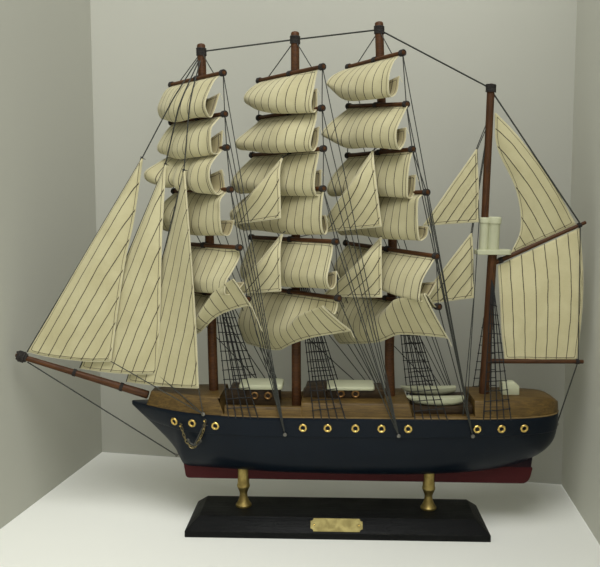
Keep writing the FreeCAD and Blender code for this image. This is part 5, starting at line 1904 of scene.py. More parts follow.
# ---------------------------------------------------------------- sails
@dataclass
class Cloth:
    """Grid of cloth in millimetres, rows from its head to its foot."""
    rows: list[list[Vector]]
    across: list[list[float]]
    down: list[list[float]]
    # turned: how much painted shade darkens each row, where the cloth is turned under in the curl.
    turned: list[float] = field(default_factory=list)
    thick: float = 0.5
    unhemmed: float = 99.0
    ripples: Pair = (9.0, 6.0)

    @property
    def height(self) -> int:
        """Number of rows."""
        return len(self.rows)

    @property
    def width(self) -> int:
        """Number of points in a row."""
        return len(self.rows[0])

    def area(self) -> float:
        """Area in square millimetres.

        Returns:
            The area.
        """
        total = 0.0
        for upper, lower in zip(self.rows, self.rows[1:]):
            for i in range(self.width - 1):
                total += (lower[i + 1] - upper[i]).cross(lower[i] - upper[i + 1]).length / 2
        return total

    def edge(self, name: str) -> list[Vector]:
        """Points of one edge: head, foot, luff (first column) or leech (last column).

        Args:
            name: Name of the edge.

        Returns:
            The points of the edge.
        """
        if name == "head":
            return list(self.rows[0])
        if name == "foot":
            return list(self.rows[-1])
        column = 0 if name == "luff" else self.width - 1
        return [row[column] for row in self.rows]

    def lengths(self) -> Pair:
        """Longest row and longest column, along the cloth.

        Returns:
            Both lengths.
        """
        def run(path: Sequence[Vector]) -> float:
            """Length of a path."""
            return sum((b - a).length for a, b in zip(path, path[1:]))
        columns = [[row[i] for row in self.rows] for i in range(self.width)]
        return max(run(row) for row in self.rows), max(run(column) for column in columns)

    def hems(self, names: Sequence[str]) -> list[list[float]]:
        """Distance of each point from the nearest of the named edges, along rows and columns.

        Args:
            names: Names of the edges.

        Returns:
            The distance for each point of each row.
        """
        result = [[self.unhemmed] * self.width for _ in self.rows]
        for r, row in enumerate(self.rows):
            travel = [0.0]
            for a, b in zip(row, row[1:]):
                travel.append(travel[-1] + (b - a).length)
            for c in range(self.width):
                if "luff" in names:
                    result[r][c] = min(result[r][c], travel[c])
                if "leech" in names:
                    result[r][c] = min(result[r][c], travel[-1] - travel[c])
        for c in range(self.width):
            travel = [0.0]
            for a, b in zip(self.rows, self.rows[1:]):
                travel.append(travel[-1] + (b[c] - a[c]).length)
            for r in range(self.height):
                if "head" in names:
                    result[r][c] = min(result[r][c], travel[r])
                if "foot" in names:
                    result[r][c] = min(result[r][c], travel[-1] - travel[r])
        return result

    def crumple(self, seed: int, depth: float) -> None:
        """Adds low waves across the cloth, square to it, with still edges at the head.

        Args:
            seed: Start of the noise.
            depth: Height of the waves.
        """
        draw = random.Random(seed)
        waves = [(draw.uniform(0.5, 1.6), draw.uniform(0.4, 1.8), draw.uniform(0, 6.3), draw.uniform(0.4, 1.0))
                 for _ in range(7)]
        moved = []
        for r, row in enumerate(self.rows):
            line = []
            for c, point in enumerate(row):
                right = row[min(c + 1, self.width - 1)] - row[max(c - 1, 0)]
                below = self.rows[min(r + 1, self.height - 1)][c] - self.rows[max(r - 1, 0)][c]
                normal = right.cross(below)
                u, v = self.ripples[0] * c / (self.width - 1), self.ripples[1] * r / (self.height - 1)
                lift = sum(size * math.sin(a * u + b * v + turn) for a, b, turn, size in waves) / 3.0
                lift *= depth * min(1.0, 2.5 * r / (self.height - 1))
                line.append(point + normal.normalized() * lift if normal.length > 1e-9 else Vector(point))
            moved.append(line)
        self.rows = moved


@dataclass
class SailMaker:
    """Turns cloth into sails with their edge cords."""
    shop: Shop
    cord: float = 0.32
    weld: float = 2e-5

    def sew(self, cloth: Cloth, name: str, node: str, finish: Finish, held: str, rests_on: Sequence[str],
            hemmed: Sequence[str], corded: Sequence[str], tails: Sequence[Sequence[Vector]] = ()) -> None:
        """Makes one sail.

        Args:
            cloth: Its cloth.
            name: Name of the piece.
            node: Node of the frame that it replaces.
            finish: Its finish.
            held: How it is held; not used.
            rests_on: Spars or threads that hold it; not used.
            hemmed: Edges that are hemmed.
            corded: Edges with a pale cord sewn on.
            tails: Loose ends of tape at its corners.
        """
        mesh = bpy.data.meshes.new(name)
        width = cloth.width
        points = [point for row in cloth.rows for point in row]
        faces = [(r * width + c, r * width + c + 1, (r + 1) * width + c + 1, (r + 1) * width + c)
                 for r in range(cloth.height - 1) for c in range(width - 1)]
        mesh.from_pydata([point * MM for point in points], [], faces)
        # The turned attribute carries the painted shade of the curl to the cloth's material.
        turned = [[part] * width for part in cloth.turned or [0.0] * cloth.height]
        for key, rows in (("across", cloth.across), ("down", cloth.down), ("hem", cloth.hems(hemmed)),
                          ("turned", turned)):
            mesh.attributes.new(key, "FLOAT", "POINT").data.foreach_set("value", [v for row in rows for v in row])
        work = bmesh.new()
        work.from_mesh(mesh)
        bmesh.ops.remove_doubles(work, verts=work.verts, dist=self.weld)
        work.to_mesh(mesh)
        work.free()
        sail = finish_piece(mesh, name, [finish], [node], sharp=60.0)
        wall = sail.modifiers.new("cloth_thickness", "SOLIDIFY")
        wall.thickness, wall.offset = cloth.thick * MM, 0.0
        edging = Threads()
        for edge in corded:
            edging.run(cloth.edge(edge), self.cord)
        for tail in tails:
            edging.run(tail, self.cord * 0.9)
        cords = edging.piece(self.shop, name + "_edge_cord", EDGE_TAPE, sides=8)
        longest = cloth.lengths()
        area = min(cloth.area(), longest[0] * longest[1])


TOPSAIL, COURSE = 4, 5


@dataclass(frozen=True)
class SquareCut:
    """Set of one square sail.

    Its sections stand from starboard (-1) to port (1) along the yard, and run from the head down, each of
    (forward, height) or (forward, height, outward) from the yard. The cloth is turned under in the curl, and painted
    shade darkens it there, coming in from the first to the last of the parts in turned; the courses get none.
    """
    mast: Mast
    level: int
    sections: Sections
    head: Pair = (0.3, -1.6)
    columns: int = 60
    lines: int = 46
    turned: Pair = (0.72, 0.82)

    def cloth(self) -> Cloth:
        """The cloth of the sail as it is set.

        Returns:
            The cloth.
        """
        starboard, port = (self.mast.reach(self.level, side) for side in (Side.STARBOARD, Side.PORT))
        centre, along, forward = self.mast.centre(self.level), self.mast.way(self.level), self.mast.forward
        stops = [(u, [Vector((*point, 0.0)[:3]) for point in (self.head, *points)]) for u, points in self.sections]
        rows, down = [], []
        for line in range(self.lines):
            part = line / (self.lines - 1)
            table = [(u, *smooth_point(path, part)) for u, path in stops]
            row = []
            for column in range(self.columns):
                u = -1.0 + 2.0 * column / (self.columns - 1)
                n, h, s = (eased(table, u, axis) for axis in (1, 2, 3))
                out = u * (port if u > 0 else starboard)
                row.append(centre + along * (out + s) + forward * n + UP * h)
            rows.append(row)
        for line, row in enumerate(rows):
            if line:
                before = down[-1]
                down.append([before[c] + (row[c] - rows[line - 1][c]).length for c in range(self.columns)])
            else:
                down.append([0.0] * self.columns)
        spread = [abs(-1.0 + 2.0 * c / (self.columns - 1)) for c in range(self.columns)]
        places = [part * (port if c * 2 > self.columns else -starboard) for c, part in enumerate(spread)]
        across = [[out + starboard for out in places] for _ in rows]
        # Painted shade of the turned-under cloth, coming in between these parts; the courses get none.
        first, last = self.turned
        fold = [min(max((line / (self.lines - 1) - first) / (last - first), 0.0), 1.0) for line in range(self.lines)]
        return Cloth(rows, across, down, fold if self.level != COURSE else [])


MIDDLE: Section = ((8, -7), (15.5, -17), (18, -28), (14, -35), (8, -32), (5, -24))
UPPER_SETS: dict[str, tuple[Sections, ...]] = {
    "fore": (
        ((-1, ((6, -6, -1), (10, -13, -2), (13, -22, -3), (10, -30, -3), (5, -29, -3), (2, -22, -2))),
         (-0.3, ((10, -7), (17, -17), (20, -28), (16, -36.5), (9, -34), (5, -25))),
         (0.35, ((9, -7), (15, -17), (18.5, -28), (15.5, -36), (9, -33), (5, -22))),
         (1, ((5, -6), (10, -14), (14.5, -24), (14, -31), (8.5, -36), (0, -16)))),
        ((-1, ((7, -8), (12, -15, -1), (15.5, -22, -2), (14.5, -27, -2), (9, -29, -2), (5, -24, -2))),
         (-0.4, ((8, -8), (15.5, -18), (18, -28), (14, -34.5), (8, -32), (5, -24))),
         (0.3, MIDDLE),
         (1, ((6, -7), (10.5, -13), (11, -26), (8.5, -33), (1, -30), (-1, -13)))),
        ((-1, ((10, -6, -1), (20, -12, -4), (28, -18, -6), (27, -25, -6), (17, -29, -5), (9, -25, -4))),
         (-0.72, ((9, -7), (18, -16), (24, -25), (21, -31), (12, -32), (6, -26))),
         (-0.5, ((6.5, -7), (13, -15), (17, -24), (14, -30), (9, -30), (5, -24))),
         (-0.2, ((8, -7), (16.5, -17), (20, -29), (16, -36), (9, -33), (5, -24))),
         (0.08, ((7, -7), (13.5, -16), (16, -27), (13, -34), (8, -31), (5, -23))),
         (0.4, ((8, -7), (16, -17), (18.5, -29), (14, -37), (8, -34), (5, -24))),
         (1, ((8, -9), (13.5, -17), (13.5, -28), (7, -39), (-1, -34), (1.5, -18)))),
        ((-1, ((8, -7, -1), (15, -14, -2), (19, -22, -3), (16, -32, -3), (8, -37, -3), (2, -35, -2))),
         (0, ((6, -9), (11, -20), (13, -31), (9, -39), (4, -36), (1, -28))),
         (1, ((7, -9), (7.5, -18), (7, -28), (5, -37), (-2, -38), (-7, -26))))),
    "main": (
        ((-1, ((8, -5.5), (15.5, -11), (19.5, -16.5), (18, -21.5), (12, -23), (7, -20))),
         (-0.6, ((8.5, -6.5), (17, -14), (21, -22), (17.5, -29), (11, -28), (6, -22))),
         (0.1, MIDDLE),
         (1, ((2.3, -9), (4.2, -16.5), (7, -29), (5.5, -36.5), (1, -33), (0.8, -17)))),
        ((-1, ((8, -8, -1), (17, -15, -3), (25.5, -22.5, -5), (24, -28, -5), (16, -30, -4), (9, -26, -3))),
         (-0.5, ((8, -7), (16, -16), (20.5, -26, -1), (17, -33, -1), (10, -31, -1), (6, -25))),
         (0.1, MIDDLE),
         (1, ((2, -11), (6, -22), (7.5, -30.5), (4.4, -35), (0, -29), (-1.9, -14.5)))),
        ((-1, ((8, -8, -1), (16, -15, -2), (23, -24, -3), (21.5, -32, -3), (13, -36, -3), (6, -33, -2))),
         (0, ((6, -9), (11, -20), (14, -31), (10, -38), (5, -34), (3, -25))),
         (1, ((2.3, -9.4), (5.2, -21), (5.8, -33), (2.3, -39), (-0.8, -33), (-1.6, -17)))),
        ((-1, ((9, -7), (18, -14), (25, -21), (21, -31), (10, -37), (3, -35))),
         (0, ((5, -10), (9, -21), (11, -31), (7, -38.5), (2, -36), (0, -28))),
         (1, ((1.9, -11), (2.8, -25.5), (1.2, -35.5), (-1.6, -38), (-3.9, -33), (-1.6, -22))))),
    "mizzen": (
        ((-1, ((9, -5), (18, -10), (23.4, -15.7), (21.5, -19), (14, -19), (8, -17))),
         (-0.6, ((8.5, -6.5), (17, -14), (21, -23), (17.5, -31), (11, -30), (6, -22))),
         (0.1, MIDDLE),
         (1, ((6, -8), (10, -18), (10.7, -30), (8, -35.5), (2, -31), (-0.7, -18)))),
        ((-1, ((9, -8, -1), (18, -15, -3), (26, -24, -5), (25, -28, -5), (16, -27, -4), (9, -23, -3))),
         (-0.5, ((9, -8), (17, -19), (21, -30), (18, -37), (11, -35), (6, -27))),
         (0.1, ((8, -7), (15.5, -17), (18, -28), (14, -36.5), (8, -33), (5, -25))),
         (1, ((5.7, -11), (11.4, -21.5), (11.4, -31), (7.9, -37), (2.4, -30), (1.4, -19)))),
        ((-1, ((8, -9, -1), (16, -18, -3), (22, -29, -4), (20, -36, -4), (12, -37, -3), (6, -32, -2))),
         (0, ((6, -9), (11, -20), (13, -31), (9, -37.5), (4, -34), (2, -25))),
         (1, ((2.5, -8), (4.3, -16.5), (5, -28.5), (4.3, -39.5), (-1.5, -37), (-3.6, -20.7)))),
        ((-1, ((8, -7), (15, -14), (19, -21), (16, -31), (8, -38), (2, -36))),
         (0, ((5, -10), (9, -21), (11, -31), (7, -38.5), (2, -36), (0, -28))),
         (1, ((5.7, -6.4), (6.1, -22), (5, -34), (2.9, -39.5), (-3.6, -36), (-5.3, -28))))),
}
TOPSAIL_SETS: dict[str, Sections] = {
    "fore": (
        (-1, ((6, -9), (11, -19), (15, -29), (13, -38), (8, -38), (4, -33))),
        (0, ((6, -9), (11, -20), (15, -31), (12, -40), (7, -39), (4, -34))),
        (1, ((-1, -8), (7.7, -20, 1), (14, -27.5, 2), (15.5, -38, 3), (6, -36, 4), (-3.5, -29, 4)))),
    "main": (
        (-1, ((6, -9), (11, -19), (15, -29), (13, -38), (8, -39), (4, -35))),
        (0, ((5, -10), (10, -21), (13, -31), (10, -40), (6, -41), (3, -37))),
        (1, ((3, -10, 1.5), (8, -20, 4), (12, -30, 6), (9, -38, 6.5), (4, -35, 7), (2, -24, 6)))),
    "mizzen": (
        (-1, ((6, -7), (12, -14), (16, -22), (15, -29), (10, -33), (5, -30))),
        (0, ((5, -8), (10, -16), (14, -24), (15, -32), (10, -34), (5, -30))),
        (0.5, ((6, -8.5), (12, -17), (15.5, -26), (16.5, -35), (10, -34), (4, -27))),
        (1, ((6.5, -9), (13, -17.5), (15.8, -26), (16, -36), (7, -32), (-1.5, -21)))),
}
COURSE_SETS: dict[str, Sections] = {
    "fore": (
        (-1, ((6, -10), (12, -22), (15, -32), (14, -40), (9, -46), (4, -50))),
        (0, ((5, -8), (10, -16), (15, -24), (17, -30), (13, -33), (8, -35.7))),
        (0.35, ((3, -5), (7, -7), (13, -7), (17, -10), (13, -16, 2), (8, -20, 3))),
        (0.6, ((2, -3), (6, -2), (12, 1.5), (17, 4), (13, -5, 4), (7, -12, 5))),
        (0.95, ((1.5, -2.5), (5, 3), (10, 11, 1), (15.5, 17, 3), (9, 6, 7), (4, -4.5, 10))),
        (1, ((1.5, -2.5), (5, 3.5), (10, 12, 1), (15.5, 17.5, 3), (9, 5, 8), (3, -6, 11)))),
    "main": (
        (-1, ((6, -10), (12, -22), (15, -32), (14, -41), (10, -49), (6, -55))),
        (-0.2, ((6, -10), (12, -22), (15, -32), (14, -40), (10, -48), (5, -54))),
        (0.15, ((5, -9), (10, -19), (14, -28), (14, -34), (10, -40), (5, -45))),
        (0.5, ((3, -8), (6, -15), (11, -16), (16, -18), (11, -28, 2), (5, -36, 4))),
        (1, ((0.5, -7), (3.5, -13), (9.5, -9), (16, -5.4), (7, -16, 7), (-4, -26, 12)))),
    "mizzen": (
        (-1, ((6, -9), (12, -19), (15, -29), (14, -38), (10, -45), (5, -50))),
        (0, ((6, -6), (11, -12), (15, -18), (16, -26), (13, -33), (8, -38.5))),
        (0.3, ((5, -3), (9, -3), (13, -3), (16, -8), (12, -20, 1), (7, -29, 3))),
        (0.45, ((4, -1.5), (8, 0), (12, 2), (16, 1), (11, -14, 2), (5, -27, 4))),
        (0.95, ((3, 0), (7, 4), (10, 8), (14, 10), (6, -9, 5), (-3, -25, 8))),
        (1, ((3, 0.2), (7, 4.4), (10, 8.4), (14, 10.4), (6, -9, 5.5), (-4, -26, 8.5)))),
}


@dataclass
class SquareSails:
    """Eighteen square sails: four curled ones, a topsail and a course on each mast."""
    maker: SailMaker
    crumple: float = 0.22
    tail: float = 5.5
    course_tail: float = 19.0
    set_cloths: list[Cloth] = field(default_factory=list)

    def build(self) -> None:
        """Builds the sails."""
        for mast in SQUARE_MASTS:
            for level, sections in enumerate(UPPER_SETS[mast.name]):
                self.make(SquareCut(mast, level, sections), "%s_upper_sail_%d" % (mast.name, level + 1),
                          mast.name + "_upper_sails")
            self.make(SquareCut(mast, TOPSAIL, TOPSAIL_SETS[mast.name]), mast.name + "_topsail_cloth",
                      mast.name + "_topsail")
            self.make(SquareCut(mast, COURSE, COURSE_SETS[mast.name], (0.3, -1.5), 72, 50),
                      mast.name + "_course_cloth", mast.name + "_course")

    def make(self, cut: SquareCut, name: str, node: str) -> None:
        """Makes one sail, with its tape cords and a tail at the port clew.

        Args:
            cut: How the sail is cut.
            name: Name of the piece.
            node: Node that it stands for.
        """
        cloth = cut.cloth()
        cloth.crumple(cut.level * 7 + len(cut.mast.name), self.crumple)
        self.set_cloths.append(cloth)
        clew = cloth.rows[-1][-1]
        back = (cut.mast.along - cut.mast.forward * 0.4).normalized()
        drop = self.course_tail if cut.level == COURSE and cut.mast is FORE else self.tail
        tail = smooth_path([clew, clew + back * 0.2 * drop + UP * (-0.4 * drop),
                            clew + back * 0.5 * drop + UP * -drop], 10)
        self.maker.sew(cloth, name, node, SAIL, "hung", [cut.mast.name + "_yard_spars"],
                       ("head", "foot", "luff", "leech"), ("luff", "leech", "foot"), [tail])


@dataclass(frozen=True)
class StayedCut:
    """Set of a fore-and-aft sail between its luff and its leech, each from head to foot."""
    name: str
    node: str
    luff: tuple[Triple, ...]
    leech: tuple[Triple, ...]
    lay: Lay = Lay.LUFF
    belly: float = 2.0
    roach: float = 0.0
    columns: int = 40
    lines: int = 64

    def cloth(self) -> Cloth:
        """The cloth of the sail as it is set.

        Returns:
            The cloth.
        """
        luff, leech = smooth_path(self.luff, self.lines), smooth_path(self.leech, self.lines)
        rows = []
        for line, (start, end) in enumerate(zip(luff, leech)):
            part = line / (self.lines - 1)
            row = []
            for column in range(self.columns):
                u = column / (self.columns - 1)
                point = start + (end - start) * u
                hump = 4 * u * (1 - u)
                point.y -= self.belly * hump * math.sin(math.pi * min(part * 0.9 + 0.1, 1.0))
                point.z -= self.roach * hump * part ** 3
                row.append(point)
            rows.append(row)
        cloth = Cloth(rows, [], [])
        if self.lay is Lay.EVEN:
            width = sum((end - start).length for start, end in zip(luff, leech)) / self.lines
            cloth.across = [[width * c / (self.columns - 1) for c in range(self.columns)] for _ in rows]
        else:
            side = cloth.edge(self.lay.value)
            cloth.across = [[gap_to(side, point) for point in row] for row in rows]
        top = luff[0]
        cloth.down = [[(point - top).length for point in row] for row in rows]
        return cloth


def staysail(aft: Mast, spans: tuple[float, float, float, float], name: str, node: str) -> StayedCut:
    """Staysail led past the port side of the square sails abaft it.

    Args:
        aft: Mast that its head is made fast to.
        spans: Heights of the head, the clew and the tack, and the tack's station.
        name: Name of the piece.
        node: Node of the frame that it replaces.

    Returns:
        The cut of the sail.
    """
    head_z, clew_z, tack_z, tack_x = spans
    head = aft.at(head_z) + Vector((-10.5, -16.0, 0))
    shoulder = aft.at(head_z - 14) + Vector((-12.0, -31.0, 0))
    clew = aft.at(clew_z) + Vector((-11.0, -35.0, 0))
    tack = Vector((tack_x, -6.0, tack_z))
    middle = (head + tack) * 0.5 + Vector((0, -14, 0))
    return StayedCut(name, node, (tuple(head + Vector((-1, 0, 0))), tuple(middle), tuple(tack)),
                     (tuple(head), tuple(shoulder), tuple(clew)), belly=1.5)


STAYSAIL_SPANS = (
    (MAIN, "main_staysails", FORE, ((332, 281, 274, -98), (267, 219, 213, -93))),
    (MIZZEN, "mizzen_staysails", MAIN, ((338, 274, 267, -20), (264, 214, 211, -14))),
)
STAYED_CUTS = (
    StayedCut("flying_jib_cloth", "flying_jib", ((-173.6, -1.0, 333.0), (-283.0, -1.0, 158.6)),
              ((-172.6, -1.4, 333.0), (-181.1, -4.0, 278.4), (-190.6, -6.0, 235.3), (-203.9, -8.0, 151.8)),
              belly=5.0, roach=3.0),
    StayedCut("outer_jib_cloth", "outer_jib", ((-153.0, 0.6, 327.6), (-235.3, 0.6, 143.4)),
              ((-152.0, -1.0, 327.6), (-155.4, -8.0, 262.0), (-158.0, -10.0, 191.0), (-161.4, -10.0, 141.0)),
              belly=4.0, roach=2.0),
    StayedCut("inner_jib_cloth", "inner_jib", ((-132.2, -22.0, 321.2), (-155.6, -2.0, 248.0), (-192.6, 1.6, 131.0)),
              ((-131.2, -22.6, 321.2), (-125.8, -30.0, 256.0), (-122.6, -28.0, 191.2), (-121.4, -26.0, 132.0)),
              belly=3.0, roach=1.0),
    StayedCut("spanker_cloth", "spanker", ((141.8, 0, 238.6), (144.2, 0, 210.0), (146.4, 0, 180.0), (149.8, 0, 154.4)),
              ((212.0, 0, 271.8), (216.0, 0, 235.0), (216.4, 0, 200.0), (213.6, 0, 154.4)), Lay.EVEN, 3.0),
    StayedCut("gaff_topsail_cloth", "gaff_topsail",
              ((136.0, 0, 371.0), (139.0, 0, 341.0), (156.0, 0, 305.0), (161.0, 0, 272.0), (153.0, 0, 249.5)),
              ((137.0, 0, 371.0), (158.3, 0, 349.3), (184.8, 0, 314.7), (208.6, 0, 275.0)), Lay.LEECH, 3.0),
    StayedCut("upper_jigger_staysail", "jigger_staysails", ((120.6, 0, 340.0), (75.4, 0, 273.8)),
              ((121.6, 0, 340.0), (123.0, -1.6, 308.0), (124.0, -2.4, 277.0)), belly=2.0),
    StayedCut("lower_jigger_staysail", "jigger_staysails", ((117.6, 0, 267.0), (70.0, 0, 203.0)),
              ((118.6, 0, 267.0), (120.4, -1.6, 238.0), (120.8, -2.4, 210.0)), belly=2.0),
) + tuple(staysail(aft, spans, "%s_%s_staysail" % (part, aft.name), node)
          for aft, node, _, pair in STAYSAIL_SPANS for part, spans in zip(("upper", "lower"), pair))


@dataclass
class StayedSails:
    """Jibs, staysails, spanker and gaff topsail."""
    maker: SailMaker
    crumple: float = 0.5
    first_seed: int = 40

    def build(self) -> None:
        """Builds the sails."""
        for index, cut in enumerate(STAYED_CUTS):
            cloth = cut.cloth()
            cloth.crumple(self.first_seed + index, self.crumple)
            # The spanker takes the lighter cloth, painted light.
            finish = LIT_SPANKER_CLOTH if cut.name == "spanker_cloth" else STAY_CLOTH if "staysail" in cut.name else SAIL
            held = ["gaff_spar", "boom_spar"] if cut.node == "spanker" else ["stay_threads"]
            self.maker.sew(cloth, cut.name, cut.node, finish, "stretched", held, ("luff", "leech", "foot"),
                           ("luff", "leech", "foot"))


# ---------------------------------------------------------------- rigging
@dataclass
class Rigging:
    """Nets, backstays and stays."""
    spars: Spars
    cloths: Sequence[Cloth]
    net_gauge: float = 0.5
    ratline: float = 0.4
    step: float = 8.1
    shrouds: int = 5
    stay_gauge: float = 0.6
    mast_stay_gauge: float = 0.72
    backstay_gauge: float = 0.44
    nets: tuple[tuple[str, Mast, float, float, float], ...] = (
        ("fore_shrouds", FORE, 254.0, -94.5, 26.0), ("main_shrouds", MAIN, 254.0, -20.0, 27.5),
        ("mizzen_shrouds", MIZZEN, 248.0, 67.5, 28.0))
    gather: tuple[Pair, ...] = ((-45.0, 93.6), (53.3, 93.6), (117.0, 93.6))
    sheet_pin: Pair = (-116.5, 110.0)
    bobstay: tuple[Triple, Triple] = ((-283.5, 0.0, 149.0), (-147.3, 0.0, 62.9))
    boom_sheet_foot: Triple = (197.6, 0.0, 96.0)
    hitch: tuple[Pair, ...] = ((0.1, -0.75), (0.55, -0.45), (0.66, 0.0), (0.55, 0.45), (0.1, 0.75))
    knot: tuple[Pair, ...] = ((0.2, -2.0), (1.0, -1.4), (1.35, 0.0), (0.9, 1.3), (0.2, 1.9))
    runs: int = 60
    clearance: float = 0.7

    def build(self, shop: Shop) -> None:
        """Builds the rigging.

        Args:
            shop: Makers that the pieces share.
        """
        for node, mast, top, front, spread in self.nets:
            self.make_net(shop, node, mast.at(top), front, spread)
        way = self.spars.jigger.way
        self.make_net(shop, "jigger_shrouds", self.spars.jigger.foot + way * (111.0 / way.z), 126.0, 24.0)
        self.make_backstays(shop)
        self.make_stays(shop)
        self.make_lifts(shop)

    def make_net(self, shop: Shop, node: str, top: Vector, front: float, spread: float) -> None:
        """Shrouds from the rail to a mast on both sides, with ratlines knotted across them.

        Args:
            shop: Makers that the pieces share.
            node: Node that the net stands for.
            top: Where the shrouds meet.
            front: Station of the first shroud at the rail.
            spread: Distance between the first and the last shroud at the rail.
        """
        draw = random.Random(int(front) + 500)
        threads, knots = Threads(), []
        for side in Side:
            sign = -side.value
            feet, heads = [], []
            for index in range(self.shrouds):
                x = front + spread * index / (self.shrouds - 1)
                feet.append(Vector((x, sign * (FORM.breadth(x) + FORM.proud + 0.25), FORM.rail(x) - 1.5)))
                heads.append(top + Vector((0.4 * index, sign * 3.8, -1.2 * index)))
                threads.run([feet[-1], heads[-1]], self.net_gauge)
            outward = (feet[-1] - feet[0]).cross(heads[0] - feet[0]).normalized()
            outward *= 1 if outward.y * sign > 0 else -1
            height = top.z - FORM.rail_low
            for row in range(1, int(height / self.step) - 1):
                base = row * self.step / height
                line = []
                for index, (foot, head) in enumerate(zip(feet, heads)):
                    part = base + 0.018 * index / (self.shrouds - 1) + draw.uniform(-0.0016, 0.0016)
                    line.append(foot + (head - foot) * part + outward * (self.net_gauge + self.ratline - 0.15))
                lead = (line[1] - line[0]).normalized() * 0.7
                knots += [(point, lead.normalized()) for point in line]
                threads.run([line[0] - lead] + line + [line[-1] + lead], self.ratline)
        threads.piece(shop, node + "_net", BLACK_THREAD, [node])
        hitch = Shape()
        hitch.lathe(self.hitch, ORIGIN, UP, 7)
        shop.fittings.scatter(hitch, knots, node + "_hitches", BLACK_THREAD)

    def make_backstays(self, shop: Shop) -> None:
        """Threads from the yard ends down to the pins, with the turns round each pin, and those of the gaff.

        Args:
            shop: Makers that the pieces share.
        """
        threads, turns = Threads(), []
        for index, mast in enumerate(SQUARE_MASTS):
            for side in Side:
                seat, outward = FORM.seat(*self.gather[index], side)
                pin = seat + outward * 1.5
                for level in range(len(mast.yards)):
                    threads.run([mast.end(level, side), pin], self.backstay_gauge)
                turns.append((pin - outward * 1.2, outward))
        head = self.spars.topmast.foot + self.spars.topmast.way * (self.spars.topmast.length - 4)
        peak, boom = Vector(self.spars.gaff.stop), Vector(self.spars.boom.stop)
        threads.run([head, peak + Vector((-6, -1.8, 0))], self.mast_stay_gauge)
        threads.run([peak + Vector((-5, -1.6, -1)), boom + Vector((-5, -2, 0))], self.backstay_gauge)
        threads.run([boom + Vector((-5, 0, -1.5)), Vector(self.boom_sheet_foot)], self.stay_gauge)
        threads.piece(shop, "backstay_threads", GREY_THREAD, ["backstays"])
        shop.lashings.wind(turns, "backstay_turns_on_pins", GREY_THREAD, 1.25, 1.9, 0.4)

    def make_stays(self, shop: Shop) -> None:
        """Threads between mastheads, those that carry the jibs and staysails, the jib sheets and the bobstay.

        Args:
            shop: Makers that the pieces share.
        """
        threads, knots = Threads(), []
        heads = [mast.at(mast.head[1] - 6.0) for mast in SQUARE_MASTS]
        heads.append(self.spars.topmast.foot + self.spars.topmast.way * (self.spars.topmast.length - 3))
        for low, high in zip(heads, heads[1:]):
            threads.run([low, high], self.mast_stay_gauge)
        jibs = [cut for cut in STAYED_CUTS if cut.node.endswith("jib")]
        for drop, cut in zip((8, 9, 10), jibs):
            luff = [Vector(point) for point in cut.luff]
            threads.run(self.drape(FORE.at(FORE.head[1] - drop), luff[0]), self.stay_gauge)
            threads.run(luff, self.stay_gauge)
            knots.append((luff[0], (luff[0] - luff[-1]).normalized()))
        threads.run([Vector(point) for point in self.bobstay], self.stay_gauge)
        seat, outward = FORM.seat(*self.sheet_pin, Side.PORT)
        for cut in jibs:
            threads.run([Vector(cut.leech[-1]), seat + outward * 2.2], self.backstay_gauge)
        for aft, _, ahead, pair in STAYSAIL_SPANS:
            for spans in pair:
                cut = staysail(aft, spans, "", "")
                threads.run([aft.at(cut.luff[0][2] + 8), Vector(cut.luff[0])], self.backstay_gauge)
                threads.run([Vector(cut.luff[-1]), ahead.at(cut.luff[-1][2] - 4)], self.backstay_gauge)
        top = self.spars.topmast.foot + self.spars.topmast.way * 120.0
        for cut in STAYED_CUTS:
            if cut.node == "jigger_staysails":
                threads.run([top, Vector(cut.luff[0])], self.backstay_gauge)
                threads.run([top + Vector((0, -1.5, -4))] + [Vector(point) for point in cut.leech[::2]]
                            + [Vector((cut.leech[-1][0] - 12, -28.0, FORM.rail(100.0)))], self.backstay_gauge)
        threads.piece(shop, "stay_threads", GREY_THREAD, ["stays"])
        knot = Shape()
        knot.lathe(self.knot, ORIGIN, UP, 9)
        for turn in (0.4, 2.3, 4.4):
            tail = Vector((math.cos(turn), math.sin(turn), 0.5))
            knot.tube([tail * 0.6, tail * 2.0, tail * 3.2 + UP * -0.6], [0.34, 0.32, 0.26], 6)
        shop.fittings.scatter(knot, knots, "jib_head_knots", GREY_THREAD)

    def drape(self, start: Vector, end: Vector) -> list[Vector]:
        """Path of a thread drawn tight between two points, held to port of the square sails that it crosses.

        Args:
            start: First point.
            end: Last point.

        Returns:
            The points of the path.
        """
        points, faces = [], []
        for cloth in self.cloths:
            base, width = len(points), cloth.width
            points += [point for row in cloth.rows for point in row]
            faces += [(base + r * width + c, base + r * width + c + 1, base + (r + 1) * width + c + 1,
                       base + (r + 1) * width + c) for r in range(cloth.height - 1) for c in range(width - 1)]
        tree = BVHTree.FromPolygons(points, faces)
        count = self.runs
        straight = [start + (end - start) * (step / count) for step in range(count + 1)]
        clear = []
        for point in straight:
            hit = tree.ray_cast(Vector((point.x, -200.0, point.z)), Vector((0.0, 1.0, 0.0)))[0]
            clear.append(min(point.y, hit.y - self.stay_gauge - self.clearance) if hit else point.y)
        clear[0], clear[-1] = start.y, end.y
        taut = [0]
        while taut[-1] < count:
            here = taut[-1]
            taut.append(min(range(here + 1, count + 1), key=lambda step: (clear[step] - clear[here]) / (step - here)))
        return [Vector((straight[step].x, clear[step], straight[step].z)) for step in taut]

    def make_lifts(self, shop: Shop) -> None:
        """Lifts from each masthead to its highest yard, and the lines that join the yard ends below.

        Args:
            shop: Makers that the pieces share.
        """
        threads = Threads()
        for mast in SQUARE_MASTS:
            for side in Side:
                threads.run([mast.at(mast.head[1] - 6.5), mast.end(0, side, 15.0)], self.backstay_gauge)
                for level in range(len(mast.yards) - 1):
                    threads.run([mast.end(level, side), mast.end(level + 1, side)], self.backstay_gauge)
        threads.piece(shop, "yard_lifts", GREY_THREAD)


